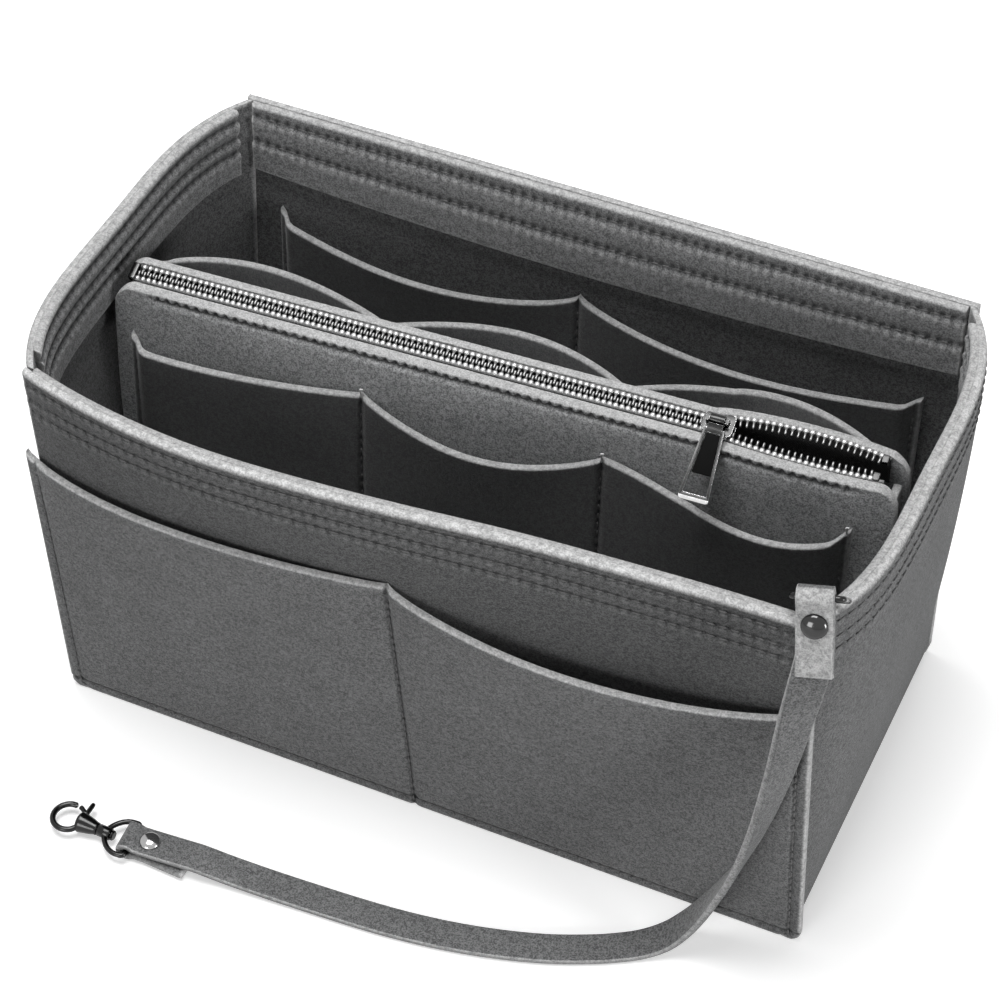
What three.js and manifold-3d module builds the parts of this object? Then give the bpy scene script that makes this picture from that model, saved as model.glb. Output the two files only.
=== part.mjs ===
// Felt purse organizer insert: an open box with sewn pockets, a zip pouch that stands inside it, and a
// key strap with a swivel clasp. Millimetres, +Z up, the camera side is -Y, left to right is +X.
import * as THREE from 'three';
import { mergeVertices } from 'three/addons/utils/BufferGeometryUtils.js';
import Module from 'manifold-3d';

const wasm = await Module();
wasm.setup();
const { Manifold, Mesh: SolidMesh } = wasm;
const { lerp, clamp, degToRad } = THREE.MathUtils;

// Driving sizes of the felt box
const FELT = 3.0; // felt sheet
const GAP = 0.3; // between pieces that touch or are sewn together
const BASE_LENGTH = 286; // outside, along X, at the floor
const BASE_WIDTH = 144; // outside, along Y, at the floor
const RIM_TAPER = 4; // the rim is this much shorter than the floor, between its corners
const RIM_LENGTH = BASE_LENGTH - RIM_TAPER;
const RIM_FLARE = 21; // and this much wider
const RIM_WIDTH = BASE_WIDTH + RIM_FLARE;
const HEIGHT = 168;
const SIDE_BOW = 14; // how far the side walls bow out at the rim
const FRONT_BOW = 12; // how far the front rim bows out
const BOW_RISE = 1.0; // the front bow is fullest near the left third
const BOW_FALL = 2.5;
const BOW_LIFT = 1.2; // the front bow grows with the height to this power
const FLOOR_BEND = 9; // outer radius where a side wall turns into the base
const PANEL_CORNER = 5; // bottom corners of the front and rear panels
const POCKET_SEAM = 2.5; // raw edge of the front pockets that stands past the side seam
const BAND_HEIGHT = 29; // sewn band inside the rim
const REAR_BAND_DIP = 5; // the rear band's lower edge hangs this much lower mid-length
const SIDE_BAND_REACH = 0.9; // the side bands cover this share of the side walls' width

// Pockets sewn on the box
const FRONT_POCKET_DROP = 38; // seam ends below the rim
const FRONT_POCKET_TOP = HEIGHT - FRONT_POCKET_DROP;
const FRONT_SCALLOPS = [5, 13]; // how far each mouth dips between its seams, left to right
const FRONT_SKEWS = [0.6, 1]; // under 1 the dip is nearer the left seam
const FRONT_SEAM_SHIFT = -3.4; // of the middle seam
const FRONT_GAPES = [2.5, 8]; // how far each mouth stands open
const REAR_POCKET_DROP = 44;
const REAR_POCKET_TOP = HEIGHT - REAR_POCKET_DROP;
const REAR_SCALLOPS = [11, 8];
const REAR_GAPES = [7, 7];
const REAR_POCKET_MARGIN = 13; // from the side walls
const REAR_SEAM_SHIFT = -5; // of the middle seam

// Zip pouch
const POUCH_ROOM = 8.4; // between the side bands and the pouch, both ends together
const POUCH_LEFT_CLEAR = 0.9; // it stands this close to the left band
const POUCH_BELOW_RIM = 21;
const POUCH_LENGTH = RIM_LENGTH + 2 * SIDE_BOW - 2 * (2 * FELT + GAP) - POUCH_ROOM;
const POUCH_HEIGHT = HEIGHT - POUCH_BELOW_RIM; // from its bottom to the middle of the zip
const POUCH_TOP = 15; // thickness at the zip
const POUCH_BELLY = 30; // thickness at the bottom
const POUCH_CORNER = 9; // upper corners
const POUCH_FOOT = 12; // lower corners
const POUCH_TAPER = 13; // the lower ends draw in to clear the floor bend
const POUCH_TAPER_HEIGHT = 100;
const POUCH_SEAM = 2; // raw edge outside the pouch's gusset
const POUCH_GUSSET_DROP = 8; // the gusset ends this far below the zip
const POUCH_X = POUCH_LEFT_CLEAR - POUCH_ROOM / 2; // where the pouch stands
const POUCH_Y = 2;
const POUCH_TURN = 3; // degrees, it stands a little askew
const POUCH_LIFT = 0.3; // clear of the base
const POUCH_POCKET_MARGIN = 10.8; // from the pouch's ends, on average
const POUCH_POCKET_OFFSET = -2.8; // they sit nearer to the left end
const POUCH_POCKET_CLEAR = 0.6; // from the panels that they are sewn on
const POUCH_FRONT_POCKET_DROP = 18; // seam ends below the zip
const POUCH_FRONT_POCKET_TOP = POUCH_HEIGHT - POUCH_FRONT_POCKET_DROP;
const POUCH_FRONT_SCALLOPS = [4.5, 10.5, 10];
const POUCH_FRONT_SKEWS = [1, 1, 1.6]; // the right mouth dips nearer its right end
const POUCH_FRONT_GAPES = [2, 5, 5];
const POUCH_REAR_POCKET_DROP = 4;
const POUCH_REAR_POCKET_TOP = POUCH_HEIGHT - POUCH_REAR_POCKET_DROP;
const POUCH_REAR_SCALLOPS = [6, 5, 5];
const POUCH_REAR_GAPES = [13, 18, 18];

// Zip
const ZIP_TILT = 20; // degrees, the chain faces forward a little
const CHAIN_WIDTH = 6.4;
const CHAIN_THICKNESS = 2.2;
const TOOTH_PITCH = 2.2;
const TOOTH_ROOT = 0.95; // along the chain
const TOOTH_TIP = 0.65;
const TOOTH_REACH = 0.8; // past the middle of the chain
const BEAD_WIDTH = 1.0; // corded edge that the teeth are clamped on
const TAPE_THICKNESS = 0.7;
const TAPE_DEPTH = 11;
const SLIDER_X = 79; // on the chain, from the pouch's middle
const OPEN_LEAD = 3; // the rows part this far before the slider's middle
const OPEN_FRONT = 2.4; // how far the front side of the open mouth bows
const OPEN_REAR = 4;
const OPEN_DEPTH = 70; // the mouth's bow fades out this far down
const STOP_LENGTH = 2.4;
const STOP_PROUD = 0.4; // thicker than the chain
const SLIDER_LENGTH = 11;
const SLIDER_WIDTH = 8.6;
const SLIDER_NOSE = 7.2; // width over the closed chain
const NOSE_ROUND = 1.5;
const TAIL_ROUND = 2.5;
const SLIDER_PLATE = 1.2;
const SLIDER_CLEAR = 0.3;
const LOWER_PLATE_WIDTH = 5;
const POST_WIDTH = 0.9;
const POST_LENGTH = 2.4;
const POST_LEAD = 0.7; // the post stands this far into the place where the rows part
const WELD = 0.4; // joined metal pieces reach this far into each other
const BAR_RADIUS = 0.75; // bridge bar that the puller hangs on
const BAR_LENGTH = 8;
const BAR_LIFT = 0.9; // room under the puller's eye
const LEG_WIDTH = 1.1; // legs of the bridge, along the chain
const LEG_DEPTH = 2.2;
const KNUCKLE_RADIUS = 1.75;
const PULLER_LENGTH = 29;
const PULLER_NECK = 3.4; // from the bar to the puller's shoulders
const PULLER_TOP_WIDTH = 6.6;
const PULLER_END_WIDTH = 10.6;
const PULLER_THICKNESS = 1.4;
const PULLER_CORNER = 1.2;
const PULLER_LEAN = 56; // degrees from straight down, towards the front
const WINDOW_START = 5; // along the puller
const WINDOW_END = 26.6;
const WINDOW_RAIL = 1; // side rails of the puller's window
const WINDOW_CORNER = 0.4;
const INLAY_END = 19.4; // under it the window is open
const INLAY_THICKNESS = 0.7;

// Key strap and its hardware
const STRAP_WIDTH = 12;
const STRAP_THICKNESS = 2.5;
const STRAP_REST = 0.3; // above the surface that it lies on
const END_REST = 1.2; // the folded end lies on the back of its rivet
const TAB_PAST_CORNER = 1.4; // the strap's upper end hangs over the rim this far past its corner
const TAB_X = RIM_LENGTH / 2 + TAB_PAST_CORNER;
const TAB_TURN = 10; // degrees that the tab faces to the right
const TAB_LEAN = 20; // degrees that it leans in over the rim
const TAB_ROLL = 6.5; // degrees that its raw end swings to the right
const TAB_CLEAR = 1.0; // from the rim
const TAB_DROP = 13.2; // raw end below the rim, along the tab
const TAB_RIVET = 4.9; // rivet above the rim
const TAB_FOLD = 13.5; // fold above the rim
const TAB_UNDER = 8; // the under ply leaves the tab this far above its raw end
const TAB_DRIFT = 1.8; // and there it has swung this far to the left of it
const FOLD_LEAD = 3.5; // length over which the plies open round a wire
const RING_WIRE = 1; // radius
const RING_LEFT = 8.4; // inside of the anchor ring from the middle of the tab, at its lower bar
const RING_SKEW = 2; // its upper left corner stands this much nearer
const RING_RIGHT = 7.4;
const RING_CORNER = 1.6;
const ANCHOR_WIDTH = 3;
const ANCHOR_THICKNESS = 1.6;
const ANCHOR_LEG = 22; // the loop's legs run down this far below the rim
const ANCHOR_RISE = 2.2; // its eye above the rim
const ANCHOR_BOTTOM = HEIGHT - ANCHOR_LEG;
const ANCHOR_LOOP_Z = HEIGHT + ANCHOR_RISE;
const ANCHOR_SLACK = 0.95; // round the ring
const ANCHOR_INSET = 6.5; // from the middle of the tab
const RIVET_CAP = 4.3; // radius
const RIVET_DOME = 2.2;
const RIVET_SHANK = 1.3;
const RIVET_BACK = 4.0;
const RIVET_BACK_THICKNESS = 0.8;
const LOW_RIVET_SCALE = 0.9;
const BAIL_WIRE = 1.0; // radius
const BAIL_HALF_WIDTH = 7.6; // to the middle of the wire
const BAIL_CORNER = 1.2;
const BAIL_LENGTH = 10.6;
const BAIL_SHOULDER = 2.6; // the D's round side begins this far from its straight side
const BAIL_POINT = 1.4; // over 1 the round side draws in to the collar
const END_X = -86.6; // the strap's lower fold, on the floor
const END_Y = -134.1;
const END_HEADING = 4; // degrees that the lower end turns to the front
const END_UNDERLAP = 23.5; // the under ply from the fold to its raw end
const END_RIVET = 7.4; // rivet from the fold
const END_SLIP = 2; // the under ply's raw end shows this far past the upper ply's front edge
const HOOK_TURN = -7; // degrees that the clasp turns to the front past the strap, here to the rear
const SWIVEL_SHANK = 1.05; // radius
const SWIVEL_HEAD = 1.9; // radius
const SWIVEL_HEAD_LENGTH = 1;
const COLLAR_RADIUS = 2.3;
const COLLAR_LENGTH = 5.2;
const HOOK_WIRE = 1.1; // radius
const HOOK_RADIUS = 5.8; // of the hook's loop, to the middle of its wire
const HOOK_START = 128; // degrees, where the loop leaves the body
const HOOK_TIP = -92; // degrees, where it ends
const HOOK_BODY = 3.9; // radius at the loop
const HOOK_BODY_LENGTH = 8;
const HOOK_BODY_NOSE = 2.4; // radius at the collar
const HOOK_BODY_TAPER = 0.9; // length of its straight start and of its worn end
const HOOK_BODY_WEAR = 0.6; // the end's edge is rounded off this far
const HOOK_SEAT = 0.77; // the loop's middle is this share of its radius past the body
const HOOK_FOOT = [[-2.4, 2.2], [-0.4, 3]]; // the wire's start, along from the body's end and across
const LEVER_WIRE = 0.9; // radius
const PIVOT_ALONG = 7; // lever's pivot from the body's start
const PIVOT_INSET = 0.9; // from the body's side
const GATE_ARC = [-140, -127, -115]; // degrees, the gate follows the loop's round
const GATE_SHORT = 11.5; // degrees, it ends this far before the hook's tip
const THUMB_REACH = 6; // thumb piece from the pivot
const THUMB_LEAN = -0.6; // towards the strap
const NOTCH_LENGTH = 3.8; // room for the lever in the body
const NOTCH_LEAD = 1.6; // it starts this far behind the pivot
const NOTCH_FLOOR = 1.2; // and stays this far off the body's middle
const NOTCH_DEPTH = 6;

// The strap's lay between the tab and its lower end, chosen by hand: x, y, z and the heading of its
// width in degrees. It moves with the tab, whose foot was at ROUTE_FOOT when the lay was chosen.
const ROUTE_FOOT = [142.4, -82.5];
const STRAP_ROUTE = [
  [140.6, -90.6, 132, 38],
  [138.2, -91, 112, 52],
  [135.2, -91, 92.5, 64],
  [132.4, -91, 77, 72],
  [129, -91, 62, 79],
  [125.4, -91, 49, 86],
  [120.6, -91, 36, 93],
  [115.6, -91.4, 24, 101],
  [109.6, -92.6, 12.6, 110],
  [103.4, -95.4, 5.2, 118],
  [96.6, -99.6, 2.2, 122],
  [88.4, -104.6, 1.6, 122],
  [79.3, -109.4, 1.6, 118],
  [64.6, -115.6, 1.6, 109],
  [40.6, -122.4, 1.6, 101],
  [15.4, -126.6, 1.6, 96],
  [-22.8, -129.4, 1.9, 93],
  [-48, -131, 3.2, 93],
];

const felt = { color: 0x6e6e70, roughness: 0.96, metalness: 0 };
const feltDark = { color: 0x5c5c5e, roughness: 0.96, metalness: 0 };
const tapeCloth = { color: 0x2a2a2c, roughness: 0.9, metalness: 0 };
const nickel = { color: 0xc9c9cc, roughness: 0.25, metalness: 1 };
const gunmetal = { color: 0x6c6c72, roughness: 0.25, metalness: 1 };
const darkInlay = { color: 0x17171a, roughness: 0.3, metalness: 0.6 };

const group = new THREE.Group();
const box = new THREE.Group();
const pouch = new THREE.Group();
const zip = new THREE.Group();
const strapSet = new THREE.Group();
group.add(box, pouch, strapSet);
pouch.add(zip);

function add(parent, name, geometry, finish) {
  const mesh = new THREE.Mesh(geometry, new THREE.MeshStandardMaterial(finish));
  mesh.name = name;
  parent.add(mesh);
  return mesh;
}

// Geometry helpers

function signedVolume(positions, index) {
  const a = new THREE.Vector3();
  const b = new THREE.Vector3();
  const c = new THREE.Vector3();
  let sum = 0;
  for (let i = 0; i < index.length; i += 3) {
    a.fromArray(positions, index[i] * 3);
    b.fromArray(positions, index[i + 1] * 3);
    c.fromArray(positions, index[i + 2] * 3);
    sum += a.dot(b.cross(c));
  }
  return sum / 6;
}

function closedGeometry(positions, index) {
  if (signedVolume(positions, index) < 0) {
    for (let i = 0; i < index.length; i += 3) {
      [index[i + 1], index[i + 2]] = [index[i + 2], index[i + 1]];
    }
  }
  const geometry = new THREE.BufferGeometry();
  geometry.setAttribute('position', new THREE.Float32BufferAttribute(positions, 3));
  geometry.setIndex(index);
  geometry.computeVertexNormals();
  return geometry;
}

// A sheet between two surfaces, each a function of the column and the row
function sheet(columns, rows, near, far) {
  const nu = columns.length;
  const nv = rows.length;
  const positions = [];
  const index = [];
  for (const surface of [near, far]) {
    for (const v of rows) {
      for (const u of columns) positions.push(...surface(u, v));
    }
  }
  const at = (side, i, j) => side * nu * nv + j * nu + i;
  const quad = (a, b, c, d) => index.push(a, b, c, a, c, d);
  for (let j = 0; j + 1 < nv; j += 1) {
    for (let i = 0; i + 1 < nu; i += 1) {
      quad(at(0, i, j), at(0, i + 1, j), at(0, i + 1, j + 1), at(0, i, j + 1));
      quad(at(1, i + 1, j + 1), at(1, i + 1, j), at(1, i, j), at(1, i, j + 1));
    }
  }
  for (let i = 0; i + 1 < nu; i += 1) {
    quad(at(1, i, 0), at(1, i + 1, 0), at(0, i + 1, 0), at(0, i, 0));
    quad(at(0, i, nv - 1), at(0, i + 1, nv - 1), at(1, i + 1, nv - 1), at(1, i, nv - 1));
  }
  for (let j = 0; j + 1 < nv; j += 1) {
    quad(at(0, 0, j), at(0, 0, j + 1), at(1, 0, j + 1), at(1, 0, j));
    quad(at(1, nu - 1, j), at(1, nu - 1, j + 1), at(0, nu - 1, j + 1), at(0, nu - 1, j));
  }
  return closedGeometry(positions, index);
}

// A ribbon of rectangular section along stations of { point, across }
function ribbon(stations, width, thickness) {
  const positions = [];
  const index = [];
  const count = stations.length;
  const tangent = new THREE.Vector3();
  const across = new THREE.Vector3();
  const normal = new THREE.Vector3();
  const corner = new THREE.Vector3();
  const section = [[-1, -1], [1, -1], [1, 1], [-1, 1]];
  stations.forEach(({ point, across: wish }, i) => {
    const before = stations[Math.max(i - 1, 0)].point;
    const after = stations[Math.min(i + 1, count - 1)].point;
    tangent.subVectors(after, before).normalize();
    across.copy(wish).addScaledVector(tangent, -wish.dot(tangent)).normalize();
    normal.crossVectors(tangent, across);
    for (const [side, face] of section) {
      corner.copy(point).addScaledVector(across, (side * width) / 2);
      corner.addScaledVector(normal, (face * thickness) / 2);
      positions.push(corner.x, corner.y, corner.z);
    }
  });
  for (let i = 0; i + 1 < count; i += 1) {
    for (let k = 0; k < 4; k += 1) {
      const a = i * 4 + k;
      const b = i * 4 + ((k + 1) % 4);
      index.push(a, b, b + 4, a, b + 4, a + 4);
    }
  }
  const last = (count - 1) * 4;
  index.push(0, 2, 1, 0, 3, 2, last, last + 1, last + 2, last, last + 2, last + 3);
  return closedGeometry(positions, index);
}

// A closed ring of round wire along points of a plane; place turns (p, q, height) into a point
function wireRing(points, radius, sides, place) {
  const positions = [];
  const index = [];
  const count = points.length;
  points.forEach((here, i) => {
    const before = points[(i + count - 1) % count];
    const after = points[(i + 1) % count];
    const along = new THREE.Vector2(after.x - before.x, after.y - before.y).normalize();
    for (let k = 0; k < sides; k += 1) {
      const angle = (k / sides) * 2 * Math.PI;
      const out = Math.cos(angle) * radius;
      const point = place(here.x + along.y * out, here.y - along.x * out, Math.sin(angle) * radius);
      positions.push(point.x, point.y, point.z);
    }
  });
  for (let i = 0; i < count; i += 1) {
    const next = (i + 1) % count;
    for (let k = 0; k < sides; k += 1) {
      const turn = (k + 1) % sides;
      const a = i * sides + k;
      const b = next * sides + k;
      index.push(a, b, next * sides + turn, a, next * sides + turn, i * sides + turn);
    }
  }
  return closedGeometry(positions, index);
}

function solid(geometry) {
  const bare = new THREE.BufferGeometry();
  bare.setAttribute('position', geometry.getAttribute('position').clone());
  if (geometry.index) bare.setIndex(geometry.index.clone());
  const merged = mergeVertices(bare, 1e-4);
  const mesh = new SolidMesh({
    numProp: 3,
    vertProperties: new Float32Array(merged.getAttribute('position').array),
    triVerts: new Uint32Array(merged.index.array),
  });
  mesh.merge();
  return new Manifold(mesh);
}

function fromSolid(body) {
  const mesh = body.getMesh();
  return closedGeometry(Array.from(mesh.vertProperties), Array.from(mesh.triVerts));
}

function joined(...geometries) {
  return fromSolid(geometries.map(solid).reduce((sum, next) => sum.add(next)));
}

function cut(geometry, ...tools) {
  return fromSolid(tools.map(solid).reduce((rest, tool) => rest.subtract(tool), solid(geometry)));
}

function rodAlong(radius, length, sides, direction, middle) {
  const rod = new THREE.CylinderGeometry(radius, radius, length, sides);
  const turn = new THREE.Quaternion().setFromUnitVectors(new THREE.Vector3(0, 1, 0), direction);
  return rod.applyQuaternion(turn).translate(middle.x, middle.y, middle.z);
}

function sweep(points, radius, sides, steps) {
  const curve = new THREE.CatmullRomCurve3(points, false, 'centripetal');
  const ring = new THREE.Shape();
  ring.absarc(0, 0, radius, 0, 2 * Math.PI, false);
  const options = { steps, curveSegments: sides / 2, extrudePath: curve };
  return new THREE.ExtrudeGeometry(ring, options);
}

function spread(count, from = 0, to = 1) {
  return Array.from({ length: count + 1 }, (_, i) => lerp(from, to, i / count));
}

// The felt box

const rise = (z) => clamp(z / HEIGHT, 0, 1);
const halfLength = (z) => lerp(BASE_LENGTH, RIM_LENGTH, rise(z)) / 2;
const halfWidth = (z) => lerp(BASE_WIDTH, RIM_WIDTH, rise(z)) / 2;
const BOW_AT = BOW_RISE / (BOW_RISE + BOW_FALL);
const BOW_PEAK = BOW_AT ** BOW_RISE * (1 - BOW_AT) ** BOW_FALL;

function frontFace(x, z) {
  const s = clamp((x + halfLength(z)) / (2 * halfLength(z)), 0, 1);
  const shape = (s ** BOW_RISE * (1 - s) ** BOW_FALL) / BOW_PEAK;
  return -halfWidth(z) - FRONT_BOW * shape * rise(z) ** BOW_LIFT;
}

const rearFace = (x, z) => halfWidth(z);

// Outer face of a side wall; s runs from -1 at the front edge to 1 at the rear edge
function sideFace(s, z) {
  const lift = clamp((z - FLOOR_BEND) / (HEIGHT - FLOOR_BEND), 0, 1);
  return halfLength(z) + SIDE_BOW * (1 - (1 - lift) ** 2) * (1 - s ** 4);
}

const sideY = (s, z) => s * (halfWidth(z) - FELT - GAP);
const bandSteps = [-1, -0.86, -0.67, -0.37, 0, 0.37, 0.67, 0.86, 1].map((s) => s * SIDE_BAND_REACH);
const sideSteps = [-1, ...bandSteps, 1];

function gussetProfile(s) {
  const right = [];
  for (const share of [0, 0.5, 1]) right.push([share * (BASE_LENGTH / 2 - FLOOR_BEND), 0]);
  for (const turn of spread(4).slice(1)) {
    const angle = (turn * Math.PI) / 2;
    const x = BASE_LENGTH / 2 - FLOOR_BEND + Math.sin(angle) * FLOOR_BEND;
    right.push([x, FLOOR_BEND * (1 - Math.cos(angle))]);
  }
  for (const z of [...spread(5, FLOOR_BEND, HEIGHT - BAND_HEIGHT).slice(1), HEIGHT]) {
    right.push([sideFace(s, z), z]);
  }
  const left = right.slice(1).reverse().map(([x, z]) => [-x, z]);
  return [...left, ...right];
}

function inset(points, depth) {
  return points.map(([x, z], i) => {
    const [x0, z0] = points[Math.max(i - 1, 0)];
    const [x1, z1] = points[Math.min(i + 1, points.length - 1)];
    const length = Math.hypot(x1 - x0, z1 - z0);
    return [x - ((z1 - z0) / length) * depth, z + ((x1 - x0) / length) * depth];
  });
}

function gusset() {
  const profiles = new Map(sideSteps.map((s) => [s, gussetProfile(s)]));
  const inner = new Map(sideSteps.map((s) => [s, inset(profiles.get(s), FELT)]));
  const rows = profiles.get(0).map((_, i) => i);
  const surface = (from) => (s, i) => {
    const [x, z] = from.get(s)[i];
    return [x, sideY(s, z), Math.min(z, HEIGHT)];
  };
  return sheet(sideSteps, rows, surface(profiles), surface(inner));
}

// Half length of a panel at a height, with its bottom corners rounded
function panelEnd(z, past) {
  const round = PANEL_CORNER - Math.min(z, PANEL_CORNER);
  return halfLength(z) + past - PANEL_CORNER + Math.sqrt(PANEL_CORNER ** 2 - round ** 2);
}

const cornerRows = [0, 0.6, 1.8, PANEL_CORNER];
const bandRows = [HEIGHT - BAND_HEIGHT, HEIGHT];
const wallRows = [...cornerRows, ...spread(4, PANEL_CORNER, HEIGHT - BAND_HEIGHT).slice(1), HEIGHT];

function wallPanel(face, inward, columns) {
  const x = (u, z) => lerp(-1, 1, u) * panelEnd(z, 0);
  const surface = (depth) => (u, z) => [x(u, z), face(x(u, z), z) + inward * depth, z];
  return sheet(columns, wallRows, surface(0), surface(FELT));
}

// A band inside the front or the rear rim; dip lowers its lower edge mid-length
function endBand(face, inward, columns, dip) {
  const inside = columns.slice(1, -1);
  const ends = (u) => (u === inside[0] ? -1 : Number(u === inside.at(-1)));
  const limit = (z) => halfLength(z) - FELT - GAP;
  const x = (u, z) => (ends(u) ? ends(u) * limit(z) : lerp(-1, 1, u) * halfLength(z));
  const surface = (depth) => (u, row) => {
    const z = row < HEIGHT ? row - dip * (1 - (2 * u - 1) ** 2) : row;
    return [x(u, z), face(x(u, z), z) + inward * depth, z];
  };
  return sheet(inside, bandRows, surface(FELT + GAP), surface(FELT + GAP + FELT));
}

function sideBand(side) {
  const surface = (depth) => (s, z) => [side * (sideFace(s, z) - depth), sideY(s, z), z];
  return sheet(bandSteps, bandRows, surface(FELT + GAP), surface(FELT + GAP + FELT));
}

// A pocket sheet over a wall: scalloped mouths that gape a little between the seams
const pocketSteps = [0, 0.05, 0.13, 0.26, 0.42, 0.58, 0.74, 0.87, 0.95, 1];
const MOUTH_POWER = 0.6; // a scallop leaves its seams steeply
const POUCH_MOUTH_POWER = 0.85; // or almost straight
const GAPE_POWER = 0.8;

function pocketColumns(count) {
  const columns = [0];
  for (let i = 0; i < count; i += 1) {
    for (const step of pocketSteps.slice(1)) columns.push((i + step) / count);
  }
  return columns;
}

function pocketSheet(set) {
  const { scallops, gapes, skews, shift, top, floor, end, face, out, levels, clear } = set;
  const { offset = 0, power = MOUTH_POWER } = set;
  const count = scallops.length;
  const pocketAt = (u) => Math.min(Math.floor(u * count), count - 1);
  const arch = (u) => Math.max(Math.sin(Math.PI * (u * count - pocketAt(u)) ** skews[pocketAt(u)]), 0);
  const mouth = (u) => top - scallops[pocketAt(u)] * arch(u) ** power;
  const surface = (depth) => (u, v) => {
    const z = lerp(floor, mouth(u), v);
    const x = lerp(-1, 1, u) * end(z) + offset + shift * 4 * u * (1 - u);
    const gape = gapes[pocketAt(u)] * arch(u) ** GAPE_POWER * v ** 2;
    return [x, face(x, z) + out * (clear + gape + depth), z];
  };
  return sheet(pocketColumns(count), levels, surface(0), surface(FELT));
}

const bowColumns = [0, 0.015, ...spread(22).slice(1, -1), 0.985, 1];
const flatColumns = [0, 0.015, 0.5, 0.985, 1];
const dipColumns = [0, 0.015, ...spread(8).slice(1, -1), 0.985, 1];
add(box, 'base_gusset', gusset(), felt);
add(box, 'front_panel', wallPanel(frontFace, 1, bowColumns), felt);
add(box, 'rear_panel', wallPanel(rearFace, -1, flatColumns), felt);
add(box, 'front_rim_band', endBand(frontFace, 1, bowColumns, 0), felt);
add(box, 'rear_rim_band', endBand(rearFace, -1, dipColumns, REAR_BAND_DIP), felt);
add(box, 'left_rim_band', sideBand(-1), felt);
add(box, 'right_rim_band', sideBand(1), felt);

const frontPockets = {
  scallops: FRONT_SCALLOPS,
  gapes: FRONT_GAPES,
  skews: FRONT_SKEWS,
  shift: FRONT_SEAM_SHIFT,
  clear: GAP,
  top: FRONT_POCKET_TOP,
  floor: 0,
  end: (z) => panelEnd(z, POCKET_SEAM),
  face: frontFace,
  out: -1,
  levels: [0, 0.005, 0.015, 0.045, 0.3, 0.55, 0.75, 0.9, 1],
};
add(box, 'front_pocket_panel', pocketSheet(frontPockets), felt);

const rearPockets = {
  scallops: REAR_SCALLOPS,
  gapes: REAR_GAPES,
  skews: [1, 1],
  shift: REAR_SEAM_SHIFT,
  clear: GAP,
  top: REAR_POCKET_TOP,
  floor: FELT + GAP,
  end: () => BASE_LENGTH / 2 - FELT - REAR_POCKET_MARGIN,
  face: (x, z) => rearFace(x, z) - FELT,
  out: -1,
  levels: [0, 0.3, 0.55, 0.75, 0.9, 1],
};
add(box, 'rear_pocket_panel', pocketSheet(rearPockets), felt);

// The zip pouch, in its own frame: z from its bottom, y from its middle

pouch.position.set(POUCH_X, POUCH_Y, FELT + POUCH_LIFT);
pouch.rotation.z = degToRad(POUCH_TURN);

const tilt = degToRad(ZIP_TILT);
const innerTop = POUCH_TOP / 2 - FELT;
const frontTop = POUCH_HEIGHT - innerTop * Math.tan(tilt);
const rearTop = POUCH_HEIGHT + innerTop * Math.tan(tilt);
const zipHalf = POUCH_LENGTH / 2 - POUCH_CORNER + 2;
const openFrom = SLIDER_X - OPEN_LEAD;
const openTo = POUCH_LENGTH / 2;

const pouchHalf = (z) => {
  const share = clamp(z / POUCH_HEIGHT, 0, 1);
  return lerp(POUCH_BELLY, POUCH_TOP, share ** 2.2) / 2;
};

// How far the open mouth of the zip bows, as a share of its full bow
function mouthBow(x) {
  const along = clamp((x - openFrom) / (openTo - openFrom), 0, 1);
  return Math.sin(Math.PI * along) ** 0.6;
}

const mouthFade = (z) => clamp((z - POUCH_HEIGHT + OPEN_DEPTH) / OPEN_DEPTH, 0, 1) ** 2;
const pouchFront = (x, z) => -pouchHalf(z) - OPEN_FRONT * mouthBow(x) * mouthFade(z);
const pouchRear = (x, z) => pouchHalf(z) + OPEN_REAR * mouthBow(x) * mouthFade(z);

function pouchEnd(z, top) {
  const foot = clamp(1 - z / POUCH_TAPER_HEIGHT, 0, 1);
  const low = POUCH_FOOT - Math.min(z, POUCH_FOOT);
  const high = Math.max(z - (top - POUCH_CORNER), 0);
  const footRound = POUCH_FOOT - Math.sqrt(POUCH_FOOT ** 2 - low ** 2);
  const topRound = POUCH_CORNER - Math.sqrt(Math.max(POUCH_CORNER ** 2 - high ** 2, 0));
  return POUCH_LENGTH / 2 - POUCH_TAPER * foot ** 2 - footRound - topRound;
}

function pouchRows(top) {
  const foot = [0, 0.1, 0.4, 1].map((share) => share * POUCH_FOOT);
  const head = [0, 0.45, 0.78, 0.95, 1].map((share) => top - POUCH_CORNER + share * POUCH_CORNER);
  return [...foot, POUCH_TAPER_HEIGHT, (POUCH_TAPER_HEIGHT + top - POUCH_CORNER) / 2, ...head];
}

// Columns of a pouch panel; those past the shoulder draw in with the rounded corners
const shoulder = POUCH_LENGTH / 2 - 2 * POUCH_CORNER;

function mouthColumns() {
  const open = [0.05, 0.14, 0.28, 0.52, 0.78, 1];
  const mouth = open.map((share) => lerp(openFrom, shoulder, share));
  const corner = [0.33, 0.67, 1].map((share) => lerp(shoulder, POUCH_LENGTH / 2, share));
  return [-POUCH_LENGTH / 2, -shoulder, ...spread(3, -shoulder, openFrom).slice(1), ...mouth, ...corner];
}

function pouchX(x, z, top) {
  if (Math.abs(x) <= shoulder) return x;
  const share = (Math.abs(x) - shoulder) / (POUCH_LENGTH / 2 - shoulder);
  return Math.sign(x) * lerp(shoulder, pouchEnd(z, top), share);
}

function pouchPanel(face, inward, top) {
  const surface = (depth) => (column, z) => {
    const x = pouchX(column, z, top);
    return [x, face(x, z) + inward * depth, z];
  };
  return sheet(mouthColumns(), pouchRows(top), surface(0), surface(FELT));
}

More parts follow.
